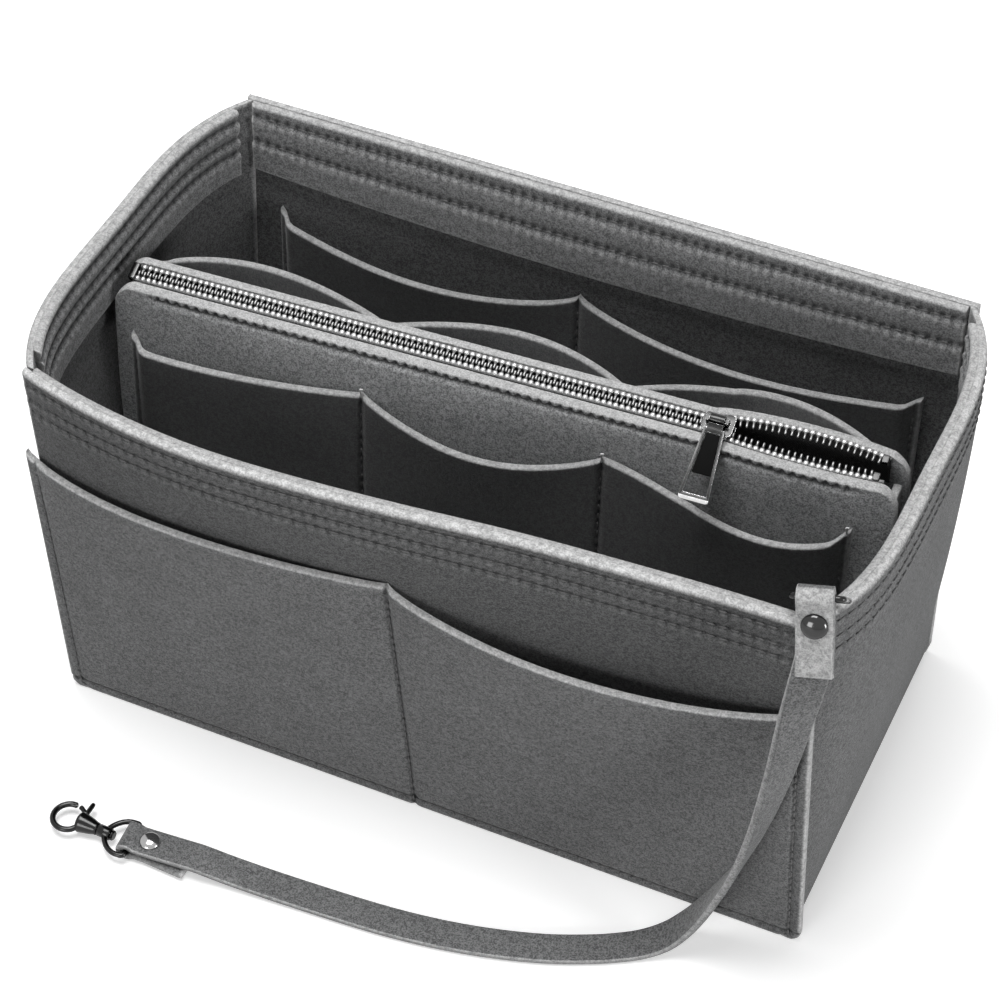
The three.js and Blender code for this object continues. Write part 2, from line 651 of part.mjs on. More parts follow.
function pouchGusset() {
  const top = frontTop - POUCH_GUSSET_DROP;
  const heights = [...pouchRows(frontTop).filter((z) => z < top - 1), top];
  const right = [[0, 0], ...heights.map((z) => [pouchEnd(z, frontTop), z])];
  const left = right.slice(1).reverse().map(([x, z]) => [-x, z]);
  const outline = [...left, ...right];
  const outer = inset(outline, POUCH_SEAM);
  const inner = inset(outline, POUCH_SEAM + FELT);
  const rows = outline.map((_, i) => i);
  const surface = (from) => (side, i) => {
    const [x, z] = from[i];
    return [x, side * (pouchHalf(z) - FELT - GAP), z];
  };
  return sheet([-1, 0, 1], rows, surface(outer), surface(inner));
}

add(pouch, 'pouch_front_panel', pouchPanel(pouchFront, 1, frontTop), felt);
add(pouch, 'pouch_rear_panel', pouchPanel(pouchRear, -1, rearTop), felt);
add(pouch, 'pouch_gusset', pouchGusset(), feltDark);

const pouchFrontPockets = {
  scallops: POUCH_FRONT_SCALLOPS,
  gapes: POUCH_FRONT_GAPES,
  skews: POUCH_FRONT_SKEWS,
  power: POUCH_MOUTH_POWER,
  shift: 0,
  offset: POUCH_POCKET_OFFSET,
  top: POUCH_FRONT_POCKET_TOP,
  floor: POUCH_FOOT,
  end: () => POUCH_LENGTH / 2 - POUCH_POCKET_MARGIN,
  face: pouchFront,
  out: -1,
  levels: [0, 0.35, 0.65, 0.85, 1],
  clear: POUCH_POCKET_CLEAR,
};
add(pouch, 'pouch_front_pockets', pocketSheet(pouchFrontPockets), felt);

const pouchRearPockets = {
  ...pouchFrontPockets,
  scallops: POUCH_REAR_SCALLOPS,
  gapes: POUCH_REAR_GAPES,
  skews: [1, 1, 1],
  power: MOUTH_POWER,
  top: POUCH_REAR_POCKET_TOP,
  face: pouchRear,
  out: 1,
};
add(pouch, 'pouch_rear_pockets', pocketSheet(pouchRearPockets), felt);

// The zip's tapes stand along the inside of the panels; side is -1 at the front
function tape(side) {
  const bow = side < 0 ? OPEN_FRONT : OPEN_REAR;
  const columns = [-zipHalf, ...mouthColumns().filter((x) => Math.abs(x) <= shoulder), zipHalf];
  const under = (CHAIN_THICKNESS / 2) * Math.cos(tilt) + GAP;
  const top = POUCH_HEIGHT + (side * CHAIN_WIDTH * Math.sin(tilt)) / 2 - under;
  const rows = spread(2, top - TAPE_DEPTH, top);
  const face = (x, z) => {
    const open = bow * mouthBow(x) * mouthFade(z);
    return side * (pouchHalf(z) + open - FELT - GAP);
  };
  const surface = (depth) => (x, z) => [x, face(x, z) - side * depth, z];
  return sheet(columns, rows, surface(0), surface(TAPE_THICKNESS));
}

const TEETH = Math.floor((2 * zipHalf) / TOOTH_PITCH);
const rowStart = (side) => -zipHalf + (side < 0 ? 0 : TOOTH_PITCH / 2);
const rowEnd = (side) => rowStart(side) + (TEETH - 1) * TOOTH_PITCH + TOOTH_ROOT / 2;

// The corded edge and the teeth clamped on it, in the chain's own plane
function chainRow(side) {
  const bow = (side < 0 ? OPEN_FRONT : OPEN_REAR) / Math.cos(tilt);
  const half = CHAIN_WIDTH / 2;
  const at = (x, y) => new THREE.Vector2(x, side * (y + bow * mouthBow(x)));
  const start = rowStart(side);
  const comb = [];
  const back = [];
  comb.push(at(start - TOOTH_ROOT / 2, half - BEAD_WIDTH));
  back.push(at(start - TOOTH_ROOT / 2, half));
  for (let i = 0; i < TEETH; i += 1) {
    const x = start + i * TOOTH_PITCH;
    comb.push(at(x - TOOTH_ROOT / 2 + 0.01, half - BEAD_WIDTH - 0.01));
    comb.push(at(x - TOOTH_TIP / 2, -TOOTH_REACH));
    comb.push(at(x + TOOTH_TIP / 2, -TOOTH_REACH));
    comb.push(at(x + TOOTH_ROOT / 2, half - BEAD_WIDTH));
    if (x > openFrom && i % 3 === 0) back.push(at(x, half));
  }
  back.push(at(rowEnd(side), half));
  back.splice(1, 0, at(openFrom, half));
  const outline = new THREE.Shape([...comb, ...back.reverse()]);
  const options = { depth: CHAIN_THICKNESS, bevelEnabled: false };
  return new THREE.ExtrudeGeometry(outline, options).translate(0, 0, -CHAIN_THICKNESS / 2);
}

zip.position.z = POUCH_HEIGHT;
zip.rotation.x = tilt;
for (const [side, name] of [[-1, 'front'], [1, 'rear']]) {
  add(pouch, `zip_tape_${name}`, tape(side), tapeCloth);
  add(zip, `zip_teeth_${name}`, chainRow(side), nickel);
}

// Stops: one across both rows at the closed end, one on each row at the open end
function stops() {
  const thickness = CHAIN_THICKNESS + STOP_PROUD;
  const left = -zipHalf - TOOTH_ROOT / 2 - GAP - STOP_LENGTH / 2;
  const bottom = new THREE.BoxGeometry(STOP_LENGTH, CHAIN_WIDTH, thickness);
  add(zip, 'zip_bottom_stop', bottom.translate(left, 0, 0), nickel);
  for (const [side, name] of [[-1, 'front'], [1, 'rear']]) {
    const bow = (side < 0 ? OPEN_FRONT : OPEN_REAR) / Math.cos(tilt);
    const x = rowEnd(side) + GAP + STOP_LENGTH / 2;
    const width = CHAIN_WIDTH / 2 - GAP;
    const y = side * (bow * mouthBow(x) + GAP / 2 + width / 2);
    const stop = new THREE.BoxGeometry(STOP_LENGTH, width, thickness);
    add(zip, `zip_top_stop_${name}`, stop.translate(x, y, 0), nickel);
  }
}

// Slider: two plates, the post that parts the rows, and a bridge with a round bar
const plateInner = CHAIN_THICKNESS / 2 + SLIDER_CLEAR;
const plateOuter = plateInner + SLIDER_PLATE;
const barHeight = plateOuter + KNUCKLE_RADIUS + BAR_LIFT;
const KNUCKLE_WIDTH = BAR_LENGTH - 2 * LEG_WIDTH - 2 * GAP;

function sliderPlate(width, nose) {
  const outline = new THREE.Shape();
  const half = SLIDER_LENGTH / 2;
  outline.moveTo(-half + NOSE_ROUND, -nose / 2);
  outline.lineTo(0, -nose / 2);
  outline.lineTo(half - TAIL_ROUND, -width / 2);
  outline.quadraticCurveTo(half, -width / 2, half, -width / 4);
  outline.lineTo(half, width / 4);
  outline.quadraticCurveTo(half, width / 2, half - TAIL_ROUND, width / 2);
  outline.lineTo(0, nose / 2);
  outline.lineTo(-half + NOSE_ROUND, nose / 2);
  outline.quadraticCurveTo(-half, nose / 2, -half, nose / 4);
  outline.lineTo(-half, -nose / 4);
  outline.quadraticCurveTo(-half, -nose / 2, -half + NOSE_ROUND, -nose / 2);
  const options = { depth: SLIDER_PLATE, bevelEnabled: false, curveSegments: 4 };
  return new THREE.ExtrudeGeometry(outline, options);
}

function slider() {
  const upper = sliderPlate(SLIDER_WIDTH, SLIDER_NOSE).translate(0, 0, plateInner);
  const lower = sliderPlate(LOWER_PLATE_WIDTH, LOWER_PLATE_WIDTH).translate(0, 0, -plateOuter);
  const postX = OPEN_LEAD + POST_LENGTH / 2 - POST_LEAD;
  const postY = ((OPEN_REAR - OPEN_FRONT) / 2) * mouthBow(SLIDER_X + postX);
  const post = new THREE.BoxGeometry(POST_LENGTH, POST_WIDTH, 2 * (plateInner + WELD));
  post.translate(postX, postY, 0);
  const axis = new THREE.Vector3(1, 0, 0);
  const bar = rodAlong(BAR_RADIUS, BAR_LENGTH, 12, axis, new THREE.Vector3(0, 0, barHeight));
  const pieces = [upper, lower, post, bar];
  for (const end of [-1, 1]) {
    const height = barHeight + BAR_RADIUS - plateOuter + WELD;
    const leg = new THREE.BoxGeometry(LEG_WIDTH, LEG_DEPTH, height);
    pieces.push(leg.translate((end * (BAR_LENGTH - LEG_WIDTH)) / 2, 0, plateOuter - WELD + height / 2));
  }
  return joined(...pieces);
}

// Puller, hanging along -Z from its bar before it leans; its eye is rolled round the bridge bar
const halfAt = (length) => lerp(PULLER_TOP_WIDTH, PULLER_END_WIDTH, length / PULLER_LENGTH) / 2;

function trapezoid(from, to, margin, corner) {
  const outline = new THREE.Shape();
  const wide = halfAt(to) - margin;
  const narrow = halfAt(from) - margin;
  outline.moveTo(-narrow, -from);
  outline.lineTo(-wide, -to + corner);
  outline.quadraticCurveTo(-wide, -to, -wide + corner, -to);
  outline.lineTo(wide - corner, -to);
  outline.quadraticCurveTo(wide, -to, wide, -to + corner);
  outline.lineTo(narrow, -from);
  outline.closePath();
  return outline;
}

function plate(outline, thickness) {
  const options = { depth: thickness, bevelEnabled: false, curveSegments: 4 };
  return new THREE.ExtrudeGeometry(outline, options).translate(0, 0, -thickness / 2).rotateX(Math.PI / 2);
}

function puller() {
  const axis = new THREE.Vector3(1, 0, 0);
  const centre = new THREE.Vector3();
  const body = plate(trapezoid(PULLER_NECK, PULLER_LENGTH, 0, PULLER_CORNER), PULLER_THICKNESS);
  const neckLength = PULLER_NECK + WELD;
  const neck = new THREE.BoxGeometry(KNUCKLE_WIDTH, PULLER_THICKNESS, neckLength);
  neck.translate(0, 0, -neckLength / 2);
  const opening = trapezoid(WINDOW_START, WINDOW_END, WINDOW_RAIL, WINDOW_CORNER);
  const window = plate(opening, PULLER_THICKNESS * 2);
  const knuckle = rodAlong(KNUCKLE_RADIUS, KNUCKLE_WIDTH, 16, axis, centre);
  const eye = rodAlong(BAR_RADIUS + SLIDER_CLEAR, KNUCKLE_WIDTH * 3, 16, axis, centre);
  return cut(joined(body, neck, knuckle), window, eye);
}

const inlayOutline = trapezoid(WINDOW_START + GAP, INLAY_END, WINDOW_RAIL + GAP, WINDOW_CORNER);

stops();
const sliderGroup = new THREE.Group();
sliderGroup.position.x = SLIDER_X;
zip.add(sliderGroup);
add(sliderGroup, 'zip_slider', slider(), gunmetal);
const pullerGroup = new THREE.Group();
pullerGroup.position.z = barHeight;
pullerGroup.rotation.x = -tilt - degToRad(PULLER_LEAN);
sliderGroup.add(pullerGroup);
add(pullerGroup, 'zip_puller', puller(), gunmetal);
add(pullerGroup, 'zip_puller_inlay', plate(inlayOutline, INLAY_THICKNESS), darkInlay);

// The key strap: a tab over the rim, the hanging and lying stretch, and the folded lower end

const tabTurn = degToRad(TAB_TURN);
const tabLean = degToRad(TAB_LEAN);
const up = new THREE.Vector3(0, 0, 1);
const tabOut = new THREE.Vector3(Math.sin(tabTurn), -Math.cos(tabTurn), 0);
const tabAcross = new THREE.Vector3(Math.cos(tabTurn), Math.sin(tabTurn), 0);
const tabUp = up.clone().multiplyScalar(Math.cos(tabLean)).addScaledVector(tabOut, -Math.sin(tabLean));
const tabNormal = tabOut.clone().multiplyScalar(Math.cos(tabLean)).addScaledVector(up, Math.sin(tabLean));
tabUp.applyAxisAngle(tabNormal, degToRad(TAB_ROLL));
tabAcross.applyAxisAngle(tabNormal, degToRad(TAB_ROLL));
const tabFoot = new THREE.Vector3(TAB_X, frontFace(TAB_X, HEIGHT), HEIGHT);
const routeShift = new THREE.Vector3(tabFoot.x - ROUTE_FOOT[0], tabFoot.y - ROUTE_FOOT[1], 0);
const ply = STRAP_THICKNESS + GAP;

function onTab(along, out, across = 0) {
  const point = tabFoot.clone().addScaledVector(tabUp, along);
  point.addScaledVector(tabNormal, out + TAB_CLEAR + STRAP_THICKNESS / 2);
  return point.addScaledVector(tabAcross, across);
}

// Two plies that open round a wire: [along, out] from one ply over the fold to the other
function foldProfile(wire, lead) {
  const radius = wire + GAP + STRAP_THICKNESS / 2;
  const side = spread(4, -lead, 0).map((along) => {
    const share = 1 + along / lead;
    return [along, ply / 2 + (radius - ply / 2) * share * share * (3 - 2 * share)];
  });
  const arc = spread(8, 0, Math.PI).map((angle) => [Math.sin(angle) * radius, Math.cos(angle) * radius]);
  const back = side.slice(0, -1).reverse().map(([along, out]) => [along, -out]);
  return [...side.slice(0, -1), ...arc, ...back];
}

const endTurn = degToRad(END_HEADING);
const endAlong = new THREE.Vector3(-Math.cos(endTurn), -Math.sin(endTurn), 0);
const endAcross = new THREE.Vector3(-Math.sin(endTurn), Math.cos(endTurn), 0);
const lowPly = END_REST + STRAP_THICKNESS / 2;
const bailRadius = BAIL_WIRE + GAP + STRAP_THICKNESS / 2;
const bailHeight = bailRadius + STRAP_THICKNESS / 2 + STRAP_REST;
const endMiddle = lowPly + ply / 2;

function onEnd(along, height, across = 0) {
  const point = new THREE.Vector3(END_X, END_Y, height).add(routeShift);
  return point.addScaledVector(endAlong, along).addScaledVector(endAcross, across);
}

function endLift(along) {
  const share = clamp(1 + along / (2 * FOLD_LEAD), 0, 1);
  return (bailHeight - endMiddle) * share * share * (3 - 2 * share);
}

function strapStations() {
  const stations = [];
  const put = (point, across) => stations.push({ point, across: across.clone() });
  for (const along of spread(3, -TAB_DROP, TAB_FOLD - FOLD_LEAD).slice(0, -1)) {
    put(onTab(along, ply), tabAcross);
  }
  for (const [along, out] of foldProfile(RING_WIRE, FOLD_LEAD)) {
    put(onTab(TAB_FOLD + along, ply / 2 + out), tabAcross);
  }
  for (const along of spread(4, TAB_FOLD - FOLD_LEAD, TAB_UNDER - TAB_DROP).slice(1)) {
    put(onTab(along, 0), tabAcross);
  }
  const lower = [-26, -20].map((along) => onEnd(along, endMiddle + ply / 2));
  const knots = [onTab(TAB_UNDER - TAB_DROP, 0), onTab(-TAB_DROP - 1, 0.3, -TAB_DRIFT)];
  const headings = [TAB_TURN, TAB_TURN + 3];
  for (const [x, y, z, heading] of STRAP_ROUTE) {
    knots.push(new THREE.Vector3(x, y, z).add(routeShift));
    headings.push(heading);
  }
  for (const point of lower) {
    knots.push(point);
    headings.push(90 + END_HEADING);
  }
  const curve = new THREE.CatmullRomCurve3(knots, false, 'centripetal');
  const segments = knots.length - 1;
  for (const share of spread(2 * segments).slice(1)) {
    const at = Math.min(Math.floor(share * segments), segments - 1);
    const angle = degToRad(lerp(headings[at], headings[at + 1], share * segments - at));
    put(curve.getPoint(share), new THREE.Vector3(Math.cos(angle), Math.sin(angle), 0));
  }
  put(onEnd(-16, endMiddle + ply / 2 + endLift(-16)), endAcross);
  put(onEnd(-2 * FOLD_LEAD, endMiddle + ply / 2 + endLift(-2 * FOLD_LEAD)), endAcross);
  for (const [along, out] of foldProfile(BAIL_WIRE, FOLD_LEAD)) {
    put(onEnd(along, endMiddle + endLift(along) + out), endAcross);
  }
  for (const along of spread(2, -2 * FOLD_LEAD, -END_UNDERLAP)) {
    const slip = (END_SLIP * (along + 2 * FOLD_LEAD)) / (END_UNDERLAP - 2 * FOLD_LEAD);
    put(onEnd(along, lowPly + endLift(along), slip), endAcross);
  }
  return stations;
}

function rivet(scale, stack) {
  const cap = [];
  for (const turn of spread(5)) {
    const angle = (turn * Math.PI) / 2;
    cap.push([Math.sin(angle) * RIVET_CAP * scale, GAP + Math.cos(angle) * RIVET_DOME * scale]);
  }
  const back = -stack - GAP;
  const profile = [
    ...cap,
    [RIVET_SHANK, GAP],
    [RIVET_SHANK, back],
    [RIVET_BACK * scale, back],
    [RIVET_BACK * scale, back - RIVET_BACK_THICKNESS],
    [0, back - RIVET_BACK_THICKNESS],
  ].map(([r, y]) => new THREE.Vector2(r, y));
  return new THREE.LatheGeometry(profile.reverse(), 18);
}

function seat(geometry, point, direction) {
  const turn = new THREE.Quaternion().setFromUnitVectors(new THREE.Vector3(0, 1, 0), direction);
  return geometry.applyQuaternion(turn).translate(point.x, point.y, point.z);
}

const stack = 2 * STRAP_THICKNESS + GAP;
const highFace = onTab(TAB_RIVET, ply + STRAP_THICKNESS / 2);
const endRivetLift = endLift(-END_RIVET);
const lowFace = onEnd(-END_RIVET, endMiddle + endRivetLift + ply / 2 + STRAP_THICKNESS / 2);
const highHole = rodAlong(RIVET_SHANK + GAP, 3 * stack, 16, tabNormal, highFace);
const lowHole = rodAlong(RIVET_SHANK + GAP, 3 * stack, 16, up, lowFace);
add(strapSet, 'strap', cut(ribbon(strapStations(), STRAP_WIDTH, STRAP_THICKNESS), highHole, lowHole), felt);
add(strapSet, 'strap_upper_rivet', seat(rivet(1, stack), highFace, tabNormal), nickel);
add(strapSet, 'strap_lower_rivet', seat(rivet(LOW_RIVET_SCALE, stack), lowFace, up), nickel);

// Anchor: a wire ring through the tab's fold, held by a narrow loop on the front rim band

const ringTop = onTab(TAB_FOLD, ply / 2);
const bandInside = frontFace(TAB_X - ANCHOR_INSET, HEIGHT) + 2 * (FELT + GAP);
const loopRadius = RING_WIRE + ANCHOR_SLACK + ANCHOR_THICKNESS / 2;
const loopY = bandInside + ANCHOR_THICKNESS / 2 + loopRadius;
const ringLow = new THREE.Vector3(TAB_X - ANCHOR_INSET, loopY, ANCHOR_LOOP_Z);
const ringDown = ringLow.clone().sub(ringTop);
const ringShift = ringDown.dot(tabAcross);
ringDown.addScaledVector(tabAcross, -ringShift);
const ringLength = ringDown.length();
ringDown.normalize();
const ringNormal = ringDown.clone().cross(tabAcross);

function roundedLoop(left, right, top, bottom, corner) {
  const points = [];
  const corners = [
    [right - corner, bottom - corner, 0],
    [left + corner, bottom - corner, 90],
    [left + corner, top + corner, 180],
    [right - corner, top + corner, 270],
  ];
  for (const [x, y, from] of corners) {
    for (const turn of [0, 30, 60, 90]) {
      const angle = degToRad(from + turn);
      points.push(new THREE.Vector2(x + Math.cos(angle) * corner, y + Math.sin(angle) * corner));
    }
  }
  return points;
}

const ringPoints = roundedLoop(-RING_LEFT - RING_WIRE, RING_RIGHT + RING_WIRE, 0, ringLength, RING_CORNER);
for (const point of ringPoints) {
  if (point.x < 0) point.x += RING_SKEW * (1 - point.y / ringLength);
}
const onRing = (across, down, out) => {
  const point = ringTop.clone().addScaledVector(tabAcross, across).addScaledVector(ringDown, down);
  return point.addScaledVector(ringNormal, out);
};
add(strapSet, 'anchor_ring', wireRing(ringPoints, RING_WIRE, 8, onRing), gunmetal);

function anchorLoop() {
  const across = new THREE.Vector3(1, 0, 0);
  const legGap = ANCHOR_THICKNESS + GAP;
  const near = (z) => frontFace(ringLow.x, Math.min(z, HEIGHT)) + 2 * (FELT + GAP) + ANCHOR_THICKNESS / 2;
  const points = [];
  for (const z of [ANCHOR_BOTTOM, HEIGHT, ANCHOR_LOOP_Z]) points.push([near(z), z]);
  for (const angle of spread(8, 0, Math.PI).slice(1)) {
    points.push([loopY - Math.cos(angle) * loopRadius, ANCHOR_LOOP_Z + Math.sin(angle) * loopRadius]);
  }
  points.push([loopY + loopRadius * 0.86, ANCHOR_LOOP_Z - 2]);
  points.push([near(HEIGHT) + legGap + 1.6, ANCHOR_LOOP_Z - 5.5]);
  for (const z of [ANCHOR_LOOP_Z - 9, ANCHOR_BOTTOM]) points.push([near(z) + legGap, z]);
  const stations = points.map(([y, z]) => ({ point: new THREE.Vector3(ringLow.x, y, z), across }));
  return ribbon(stations, ANCHOR_WIDTH, ANCHOR_THICKNESS);
}

add(strapSet, 'anchor_loop', anchorLoop(), feltDark);

// Swivel clasp at the lower end: a D bail through the fold, a hook on a swivel, and its thumb lever

const hookTurn = degToRad(END_HEADING + HOOK_TURN);
const hookAlong = new THREE.Vector3(-Math.cos(hookTurn), -Math.sin(hookTurn), 0);
const hookAcross = new THREE.Vector3(Math.sin(hookTurn), -Math.cos(hookTurn), 0);
const bailMiddle = onEnd(0, bailHeight);
const onBail = (along, across, height) => {
  const point = bailMiddle.clone().addScaledVector(endAlong, along);
  return point.addScaledVector(endAcross, across).addScaledVector(up, height);
};

function bail() {
  const points = [];
  const corner = BAIL_CORNER;
  for (const across of [-BAIL_HALF_WIDTH + corner, 0, BAIL_HALF_WIDTH - corner]) {
    points.push([0, across]);
  }
  for (const turn of [30, 60, 90]) {
    const angle = degToRad(turn);
    points.push([corner * (1 - Math.cos(angle)), BAIL_HALF_WIDTH - corner + corner * Math.sin(angle)]);
  }
  for (const turn of spread(10, 0, 180)) {
    const angle = degToRad(turn);
    const along = BAIL_SHOULDER + Math.sin(angle) * (BAIL_LENGTH - BAIL_SHOULDER);
    const share = Math.sign(Math.cos(angle)) * Math.abs(Math.cos(angle)) ** BAIL_POINT;
    points.push([along, share * BAIL_HALF_WIDTH]);
  }
  for (const turn of [90, 60, 30]) {
    const angle = degToRad(turn);
    points.push([corner * (1 - Math.cos(angle)), -BAIL_HALF_WIDTH + corner - corner * Math.sin(angle)]);
  }
  const outline = points.map(([along, across]) => new THREE.Vector2(along, across));
  const wire = wireRing(outline, BAIL_WIRE, 8, onBail);
  const collarMiddle = onBail(BAIL_LENGTH, 0, 0);
  const collar = rodAlong(COLLAR_RADIUS, COLLAR_LENGTH, 14, hookAlong, collarMiddle);
  const bore = rodAlong(SWIVEL_SHANK + GAP, COLLAR_LENGTH * 4, 14, hookAlong, collarMiddle);
  return cut(joined(wire, collar), bore);
}

const swivel = onBail(BAIL_LENGTH, 0, 0);
const onHook = (along, across, height = 0) => {
  const point = swivel.clone().addScaledVector(hookAlong, along);
  return point.addScaledVector(hookAcross, across).addScaledVector(up, height);
};
const bodyStart = COLLAR_LENGTH / 2 + GAP;
const bodyEnd = bodyStart + HOOK_BODY_LENGTH;
const loopMiddle = bodyEnd + HOOK_RADIUS * HOOK_SEAT;
const pivotAlong = bodyStart + PIVOT_ALONG;
const pivotAcross = PIVOT_INSET - HOOK_BODY;

// A place on the hook's loop, by its angle
function onLoop(turn) {
  const angle = degToRad(turn);
  return onHook(loopMiddle + Math.cos(angle) * HOOK_RADIUS, Math.sin(angle) * HOOK_RADIUS);
}

function hook() {
  const profile = [
    [0, -bodyStart - SWIVEL_HEAD_LENGTH],
    [SWIVEL_HEAD, -bodyStart - SWIVEL_HEAD_LENGTH],
    [SWIVEL_HEAD, -bodyStart],
    [SWIVEL_SHANK, -bodyStart],
    [SWIVEL_SHANK, bodyStart],
    [HOOK_BODY_NOSE, bodyStart],
    [HOOK_BODY_NOSE, bodyStart + HOOK_BODY_TAPER],
    [HOOK_BODY, bodyEnd - HOOK_BODY_TAPER],
    [HOOK_BODY - HOOK_BODY_WEAR, bodyEnd],
    [0, bodyEnd],
  ].map(([r, along]) => new THREE.Vector2(r, along));
  const body = seat(new THREE.LatheGeometry(profile, 14), swivel, hookAlong);
  const path = HOOK_FOOT.map(([along, across]) => onHook(bodyEnd + along, across));
  for (const turn of spread(9, HOOK_START, HOOK_TIP)) path.push(onLoop(turn));
  const loop = sweep(path, HOOK_WIRE, 8, 22);
  const notch = new THREE.BoxGeometry(NOTCH_LENGTH, NOTCH_DEPTH, 2 * (LEVER_WIRE + GAP));
  const notchTurn = new THREE.Matrix4().makeBasis(hookAlong, hookAcross, up.clone());
  notch.applyMatrix4(notchTurn);
  const notchAt = onHook(pivotAlong + NOTCH_LENGTH / 2 - NOTCH_LEAD, -NOTCH_FLOOR - NOTCH_DEPTH / 2);
  notch.translate(notchAt.x, notchAt.y, notchAt.z);
  return cut(joined(body, loop), notch);
}

// The lever's gate closes the hook from the pivot to the hook's tip; its thumb piece stands out
function lever() {
  const pivot = onHook(pivotAlong, pivotAcross);
  const gatePath = [...GATE_ARC, HOOK_TIP - GATE_SHORT].map(onLoop);
  const gate = sweep([pivot, ...gatePath], LEVER_WIRE, 8, 8);
  const thumbFoot = onHook(pivotAlong + WELD, pivotAcross);
  const thumbEnd = onHook(pivotAlong - THUMB_LEAN, pivotAcross - THUMB_REACH);
  const thumb = sweep([thumbFoot, thumbEnd], LEVER_WIRE, 8, 2);
  return joined(gate, thumb);
}

add(strapSet, 'clasp_bail', bail(), gunmetal);
add(strapSet, 'clasp_hook', hook(), gunmetal);
add(strapSet, 'clasp_lever', lever(), gunmetal);

// The origin is the middle of the felt box and pouch, at the surface that they stand on
group.updateMatrixWorld(true);
const bounds = new THREE.Box3().expandByObject(box).expandByObject(pouch);
const middle = bounds.getCenter(new THREE.Vector3());
group.position.set(-middle.x, -middle.y, -bounds.min.z);

export default group;
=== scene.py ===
"""Felt purse organizer insert: the sewn felt pieces, the zip and the key strap, finished for the studio.

Sizes are in millimetres in the maker's frame, +Z up and the front at -Y. Meshes are written in metres.
"""
import logging
import math
from dataclasses import dataclass, field
from enum import Enum
from functools import cache, partial
from itertools import product
from typing import Callable, Iterable, Optional, Sequence

import bmesh
import bpy
import numpy as np
from bpy.types import Material, Mesh, Node, NodeSocket, NodeTree, Object
from mathutils import Matrix, Vector


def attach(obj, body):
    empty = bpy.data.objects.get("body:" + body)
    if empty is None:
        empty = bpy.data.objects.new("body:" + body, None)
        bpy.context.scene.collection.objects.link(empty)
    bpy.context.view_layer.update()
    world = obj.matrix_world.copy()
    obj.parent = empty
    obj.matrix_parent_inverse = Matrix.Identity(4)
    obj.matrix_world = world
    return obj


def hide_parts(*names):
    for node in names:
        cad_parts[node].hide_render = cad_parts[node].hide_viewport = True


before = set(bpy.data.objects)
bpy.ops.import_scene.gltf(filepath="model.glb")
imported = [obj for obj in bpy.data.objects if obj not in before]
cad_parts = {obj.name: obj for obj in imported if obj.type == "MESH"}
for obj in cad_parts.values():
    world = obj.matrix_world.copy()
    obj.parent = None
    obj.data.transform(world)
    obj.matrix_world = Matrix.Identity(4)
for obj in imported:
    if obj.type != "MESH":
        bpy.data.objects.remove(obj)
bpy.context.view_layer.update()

LOG = logging.getLogger("organizer")
MM = 0.001
ORIGIN_Y = 5.991  # the frame's origin is this far behind the maker's
EDGE_STEPS = np.array([0.0, 0.05, 0.2, 0.45, 0.75, 1.0, 1.45])  # grid lines over a rounded edge
STITCH_STEPS = np.array([0.0, 0.35, 0.7, 1.1, 1.55, 2.05, 2.6, 3.2])  # grid lines beside a stitch row
STITCH_ROOM = 3.5  # the usual grid lines keep this far from a stitch row
SEAM_MARGIN = 4.0  # left free at both ends of an upright seam
THREAD_LIFT = 0.12  # how far a thread lies above its dent
Array = np.ndarray
Colour = tuple[float, float, float, float]
Shell = tuple[Array, list[list[int]]]
Surface = Callable[[Array, Array, Array], Array]


class Side(Enum):
    """Front or rear, as a sign along Y."""

    FRONT = -1
    REAR = 1


class Wall(Enum):
    """Left or right, as a sign along X."""

    LEFT = -1
    RIGHT = 1


class Body(Enum):
    """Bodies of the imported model."""

    BOX = "box"
    POUCH = "pouch"
    SLIDER = "slider"
    PULLER = "puller"
    BAIL = "bail"
    HOOK = "hook"
    LEVER = "lever"


class Slot(Enum):
    """Material slots of the record."""

    FELT = "felt"
    FELT_DARK = "felt_dark"
    TAPE = "zip_tape"
    NICKEL = "nickel"
    GUNMETAL = "gunmetal"
    INLAY = "inlay"


# Shader node groups and finishes


